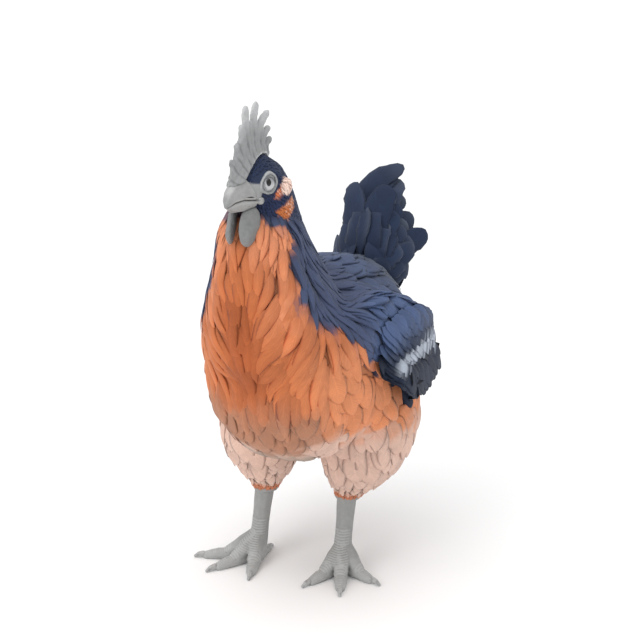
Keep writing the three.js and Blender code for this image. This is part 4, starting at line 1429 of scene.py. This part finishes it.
def make_bill():
    """Both halves of the beak, closed, with nostrils and the mouth's line in painted shade, and
    painted highlights along the ridge and beside the mouth's line.
    """
    for node, part in (("beak_upper", "bill_upper"), ("beak_lower", "bill_lower")):
        extra = []
        if node == "beak_lower":
            corners = [[side * (GAPE[0] - 0.6), GAPE[1] + 0.4, GAPE[2]] for side in SIDES.values()]
            extra = [blob(from_head(corner), (3.4, 3.6, 3.4)) for corner in corners]
        points, quads = refined([node], 0.25, BILL_VOXEL, 30, extra)
        side, along, up = head_places(points)
        ahead = -along
        normal = vertex_normals(points, quads)
        gap = np.abs(up - np.interp(ahead, MOUTH_AHEAD, MOUTH_UP))
        if node == "beak_upper":
            # the nostril: a slit under a raised lid, low on the side
            level = up - 0.2 * (ahead - 20)
            slit = oval(ahead, level, (20.5, -9.4), (4.0, 0.9))
            lid = oval(ahead, level, (22, -7.6), (7.5, 2.0))
            flank = ramp(3, 6, side)
            raised = (0.7 * ramp(1.2, 0.6, lid) - 1.6 * ramp(1.15, 0.5, slit)) * flank
            points = points + raised[:, None] * normal
        # the mouth's line arches up between the corner and the tip
        arch = np.interp(ahead, [10, 17, 27, 35, 41, 44], [0, 1.2, 3.4, 3.6, 1.8, 0])
        points = points + (arch * ramp(7, 0, gap))[:, None] * np.array([0, 0, 1.0])
        colour = layered(
            BILL,
            # painted highlight along the ridge of the bill
            (BILL_HIGHLIGHT, ramp(5, 1, side) * ramp(-9, -2, up)),
            # painted highlight on the lips beside the mouth's line
            (BILL_HIGHLIGHT, ramp(3.4, 1.8, gap) * ramp(0.9, 1.8, gap) * 0.8),
            # painted shade in the mouth's line between the halves
            (SLIT_SHADE, 0.85 * ramp(0.95, 0.35, gap) * ramp(41, 38, ahead) * ramp(12.5, 15, ahead)),
            (HORN_TIP, 0.6 * ramp(2.2, 0.6, np.hypot(ahead - 10, up - GAPE[2]))),
        )
        if node == "beak_upper":
            # painted shade in the nostril's slit
            colour = mix(colour, SLIT_SHADE, 0.8 * ramp(1.0, 0.5, slit) * flank)
        colour = mix(colour, HORN_TIP, 0.5 * ramp(34, 41, ahead))
        piece = make_solid(part, points, quads, HORN, colour)
        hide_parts(node)


def make_wattles():
    """The wattles, each filled out low down into a drop."""
    for side in SIDES:
        low, high = map(from_world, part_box("wattle_" + side))
        bottom = low + (high - low) * [0.5, 0.5, 0.3]
        drop = blob(bottom, (high - low) * [0.42, 0.46, 0.3])
        points, quads = refined(["wattle_" + side], 1.2, WATTLE_VOXEL, 0, [drop])
        points = relaxed(points, quads, 90)
        up = to_head(points)[:, 2]
        ridges = np.sin(points[:, 1] * 1.5 + 1.2 * np.sin(up / 6)) * ramp(-20, -34, up)
        normal = vertex_normals(points, quads)
        points = points + (0.05 * ridges + 0.15 * ripple(points, 14))[:, None] * normal
        colour = mix(WATTLE, COMB_DARK, 0.35 * ramp(-0.2, -1, ripple(points, 11)))
        colour = mix(colour, COMB_TIP, 0.35 * ramp(-44, -54, up))
        piece = make_solid(f"wattle_{side}_flesh", points, quads, NAKED, colour)
        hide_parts("wattle_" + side)


def make_claws():
    """Each foot's claws as one piece."""
    for side in SIDES:
        nodes = [f"claw_{side}_{toe}" for toe in TOES]
        points, quads = refined(nodes, 1.2, CLAW_VOXEL, 14)
        points = off_the_floor(points)
        colour = mix(leg_tone(points), HORN_TIP, 0.5 * ramp(0, 1, ripple(points, 9)))
        piece = make_solid(f"claws_{side}", points, quads, CLAW, colour)
        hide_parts(*nodes)


class Plates:
    """Thin horny plates that lap down a leg or along a toe."""

    # A plate from its start round to its underside: share of its length, height over the skin
    # and how pale it is, a painted highlight along its raised edge.
    SECTION = [
        (0, -0.25, 0.0), (0.12, 0.12, 0.0), (0.55, 0.2, 0.2), (0.95, 0.4, 0.75),
        (1.0, 0.24, 0.6), (0.9, -0.3, 0.0),
    ]
    LAP = 1.25  # a plate's length as a share of the step

    def __init__(self):
        self.shapes, self.colours = [], []

    def row(self, start, end, up, step, half_turn, reach=14.0):
        """Plates every `step` mm, over half_turn degrees to each side of up."""
        start, end = np.asarray(start, float), np.asarray(end, float)
        length = np.linalg.norm(end - start)
        along = (end - start) / length
        up = unit(up - np.dot(up, along) * along)
        across = np.cross(along, up)
        turns = np.radians(np.linspace(-half_turn, half_turn, 13))
        ways = np.cos(turns)[:, None] * up + np.sin(turns)[:, None] * across
        edge = 1 - 0.9 * np.abs(turns / turns[-1]) ** 3
        bow = 0.55 * step * (1 - np.cos(2.2 * turns)) if half_turn > 40 else 0.3 * step * turns**2
        for at in np.arange(0, length - 0.5 * step, step):
            rows = []
            for share, height, _ in self.SECTION:
                spots = start + along * (at + step * self.LAP * share - bow * 0.5)[:, None]
                rays = zip(spots.tolist(), ways.tolist())
                hits = [skin.bvh.ray_cast(spot, way, reach)[0] for spot, way in rays]
                if any(hit is None for hit in hits):
                    break
                hits = np.array([tuple(hit) for hit in hits])
                rows.append(hits + ways * (height * edge)[:, None])
            else:
                self.take(np.array(rows))

    def take(self, rows):
        """Adds a plate from its cross-sections; the last joins the first, under the plate."""
        count, wide = rows.shape[:2]
        points = rows.reshape(-1, 3)
        share = np.repeat([pale for _, _, pale in self.SECTION], wide)
        self.shapes.append((points, grid(count, wide, True, False)))
        # painted highlight on each plate's raised edge, the rest a little darker
        self.colours.append(mix(leg_tone(points) * 0.94, LEG_EDGE * 1.06, share))


def make_plates():
    """Plates down the front of each leg and along the toes, and from the leg down into them."""
    plates = Plates()
    for name, (ankle, hock) in LEG_AXES.items():
        ankle, hock = np.array(ankle), np.array(hock)
        top = ankle + (hock - ankle) * 0.5
        low = ankle + (hock - ankle) * 0.25
        plates.row(top, low, (0, -1, 0), 2.7, 62)
        for toe in TOES:
            tip, root = claw_at(name, toe), ankle.copy()
            tip[2], root[2] = FLOOR + 4, FLOOR + 5
            way = tip - root
            plates.row(root + way * 0.16, root + way * 0.84, (0, 0, 1), 2.2, 58)
            if toe != "hind":
                front = low + (hock - ankle) * 0.02
                plates.row(front, root + way * 0.2 + [0, 0, 3], (0, -1, 0.8), 2.3, 26, reach=22.0)
    points, quads = joined(plates.shapes)
    make_solid("leg_plates", points, quads, NAKED, np.concatenate(plates.colours))


# ---------------------------------------------------------------- eyes and lids
EYE_RADIUS, EYE_ASIDE, EYE_AHEAD = 6.6, 15.0, 1.0
# The lids face this far ahead of straight out; the pupil looks up, and forward within them.
GAZE = {"ahead": math.radians(24), "up": math.radians(20), "forward": math.radians(18)}


def from_eye(side, points):
    """From the eye's own frame (x out along the gaze, y back, z up) to the bird's."""
    outward = spun(points, -GAZE["ahead"]) + [EYE_ASIDE, -EYE_AHEAD, 0]
    return from_head(outward * [side, 1, 1])


def make_eye(name, side):
    """An eyeball from rings round the pupil, which is raised a little, out to the back."""
    rows, turns = 40, 64
    down, turn = np.linspace(0, math.pi, rows), around(turns)
    bulge = EYE_RADIUS * (1 + 0.07 * ramp(0.8, 0, down))
    out, wide = bulge * np.cos(down), (bulge * np.sin(down))[:, None]
    shape = [out[:, None] * np.ones(turns), wide * np.sin(turn), wide * np.cos(turn)]
    shape = spun(np.stack(shape, -1).reshape(-1, 3), GAZE["up"])[:, [0, 2, 1]]
    shape = spun(shape, -GAZE["forward"])
    quads = grid(rows, turns)
    if side < 0:
        quads = quads[:, ::-1]
    out = (down / math.pi / 2)[:, None]
    iris = np.stack([0.5 + out * np.cos(turn), 0.5 + out * np.sin(turn)], -1).reshape(-1, 2)
    points = from_eye(side, shape)
    piece = make_piece("eyeball_" + name, points, [quads], EYE, {"Iris": iris})
    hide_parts("eye_" + name)


# The lids' outer edge: degrees round from straight back by way of the top, and reach.
LID_TURN = [27, 76, 98, 120, 150, 175, 200, 237, 270, 302, 340]
LID_REACH = [9.6, 10.6, 9.0, 7.8, 7.7, 9.0, 11.4, 8.8, 9.0, 9.6, 9.0]
# The skin is looked for from this far out, and taken to be this far in where none is met.
LID_FROM, LID_MISSED = 30.0, 22.0


def make_lids(name, side):
    """Bare rims round the eye, pointed above and below and drawn out towards the bill."""
    turns = 96
    turn = around(turns)
    c, s = np.cos(turn), np.sin(turn)
    edge = np.interp(np.degrees(turn), LID_TURN, LID_REACH, period=360)
    opening = 5.9 + 0.25 * np.clip(edge - 9, -2, 1.6)
    dark, pale, mid = LID_DARK, LID_PALE, LID
    # each rim: its share of the way from the opening to the edge, its height over the eyeball
    # or, further out, over the skin, and its tone
    profile = [
        (0.0, -1.2, None, dark), (0.0, 0.2, None, dark), (0.1, 0.6, None, mid),
        (0.2, 0.6, None, dark), (0.34, None, 0.8, dark), (0.48, None, 0.8, mid),
        (0.62, None, 0.9, mid), (0.76, None, 1.1, pale), (0.88, None, 1.0, pale),
        (1.0, None, 0.5, mid), (1.1, None, -0.8, mid), (0.8, None, -2.2, mid),
        (0.2, -2.4, None, mid),
    ]
    rings, tones = [], []
    for share, over_ball, over_skin, tone in profile:
        reach = opening + share * (edge - opening)
        flat = np.stack([np.zeros(turns), reach * c - 0.4, reach * s + 0.4], -1)
        if over_ball is None:
            outer = from_eye(side, flat + np.array([LID_FROM, 0, 0]))
            inward = unit(from_eye(side, flat) - outer)
            hits = [skin.bvh.ray_cast(o, w)[3] for o, w in zip(outer.tolist(), inward.tolist())]
            far = np.array([LID_MISSED if hit is None else hit for hit in hits])
            level = LID_FROM - far + over_skin
            if over_skin > 0:
                level = np.maximum(level, np.sqrt(np.maximum(EYE_RADIUS**2 - reach**2, 0)) + 0.4)
        else:
            level = np.sqrt(np.maximum(EYE_RADIUS**2 - (flat**2).sum(-1), 0)) + over_ball
        flat[:, 0] = level
        rings.append(from_eye(side, flat))
        tones.append(mix(tone, mid, 0.7 * ramp(0.3, -0.5, s)))
    rings = np.array(rings)
    for _ in range(4):
        rings = 0.5 * rings + 0.25 * (np.roll(rings, 1, 1) + np.roll(rings, -1, 1))
    quads = grid(len(profile), turns, True, True)
    if side > 0:
        quads = quads[:, ::-1]
    points = rings.reshape(-1, 3)
    colour = np.concatenate(tones) * (1 + 0.12 * ripple(points, 3.5)[:, None]).clip(0.8, 1.2)
    make_solid("lids_" + name, points, quads, NAKED, colour)


EYE = eyeball()
make_comb()
make_bill()
make_wattles()
make_claws()
make_plates()
for name, side in SIDES.items():
    make_eye(name, side)
    make_lids(name, side)


# ---------------------------------------------------------------- floor, light and camera
def stage_floor():
    size, cells = 24.0, 12
    line = np.linspace(-size / 2, size / 2, cells + 1)
    spots = np.stack(np.meshgrid(line, line), -1).reshape(-1, 2)
    mesh = bpy.data.meshes.new("studio_floor")
    faces = grid(cells + 1, cells + 1, False, False)
    mesh.from_pydata([(x, y, 0.0) for x, y in spots], [], faces.tolist())
    mesh.materials.append(studio_floor())
    floor = bpy.data.objects.new("studio_floor", mesh)
    bpy.context.collection.objects.link(floor)


def lamp(name, way, power, aim, size=None, distance=2.6):
    """A round soft lamp `distance` away, or without a size a sun as soft as a wide sky."""
    light = bpy.data.lights.new(name, "SUN" if size is None else "AREA")
    light.energy = power
    if size is None:
        light.angle = math.radians(50)
    else:
        light.shape, light.size = "DISK", size
    made = bpy.data.objects.new(name, light)
    way = Vector(way).normalized()
    made.location = Vector(aim) + way * distance
    made.rotation_euler = way.to_track_quat("Z", "Y").to_euler()
    bpy.context.collection.objects.link(made)


def looking(azimuth, elevation, distance, aim, focal, half):
    """A camera round `aim`, with its focal length and half the picture's width in pixels."""
    a, e = math.radians(azimuth), math.radians(elevation)
    back = Vector((math.sin(a) * math.cos(e), -math.cos(a) * math.cos(e), math.sin(e)))
    data = bpy.data.cameras.new("camera")
    data.angle = 2 * math.atan(half / focal)
    data.clip_start, data.clip_end = 0.01, 100.0
    made = bpy.data.objects.new("camera", data)
    made.location = Vector(aim) + back * distance
    made.rotation_euler = back.to_track_quat("Z", "Y").to_euler()
    bpy.context.collection.objects.link(made)
    bpy.context.scene.camera = made


AIM = to_world((2.0, 23.6, 241.5))  # what the middle of the picture shows
AZIMUTH, ELEVATION, DISTANCE = 25, 18, 1.3
FOCAL, HALF = 1391, 320  # the focal length and half the picture's width, in pixels
SKY, KEY, AMBIENT = 1.1, 14, 0.79  # the lights' strengths

stage_floor()
looking(AZIMUTH, ELEVATION, DISTANCE, AIM, FOCAL, HALF)
lamp("sky", (-0.05, -0.16, 1), SKY, AIM)
lamp("key", (-0.35, -0.9, 0.6), KEY, AIM, 1.6)

world = bpy.data.worlds.new("studio")
world.use_nodes = True
background = world.node_tree.nodes["Background"]
background.inputs["Color"].default_value = (1, 1, 1, 1)
background.inputs["Strength"].default_value = AMBIENT
bpy.context.scene.world = world
bpy.context.scene.view_settings.view_transform = "Standard"
bpy.context.scene.view_settings.look = "None"
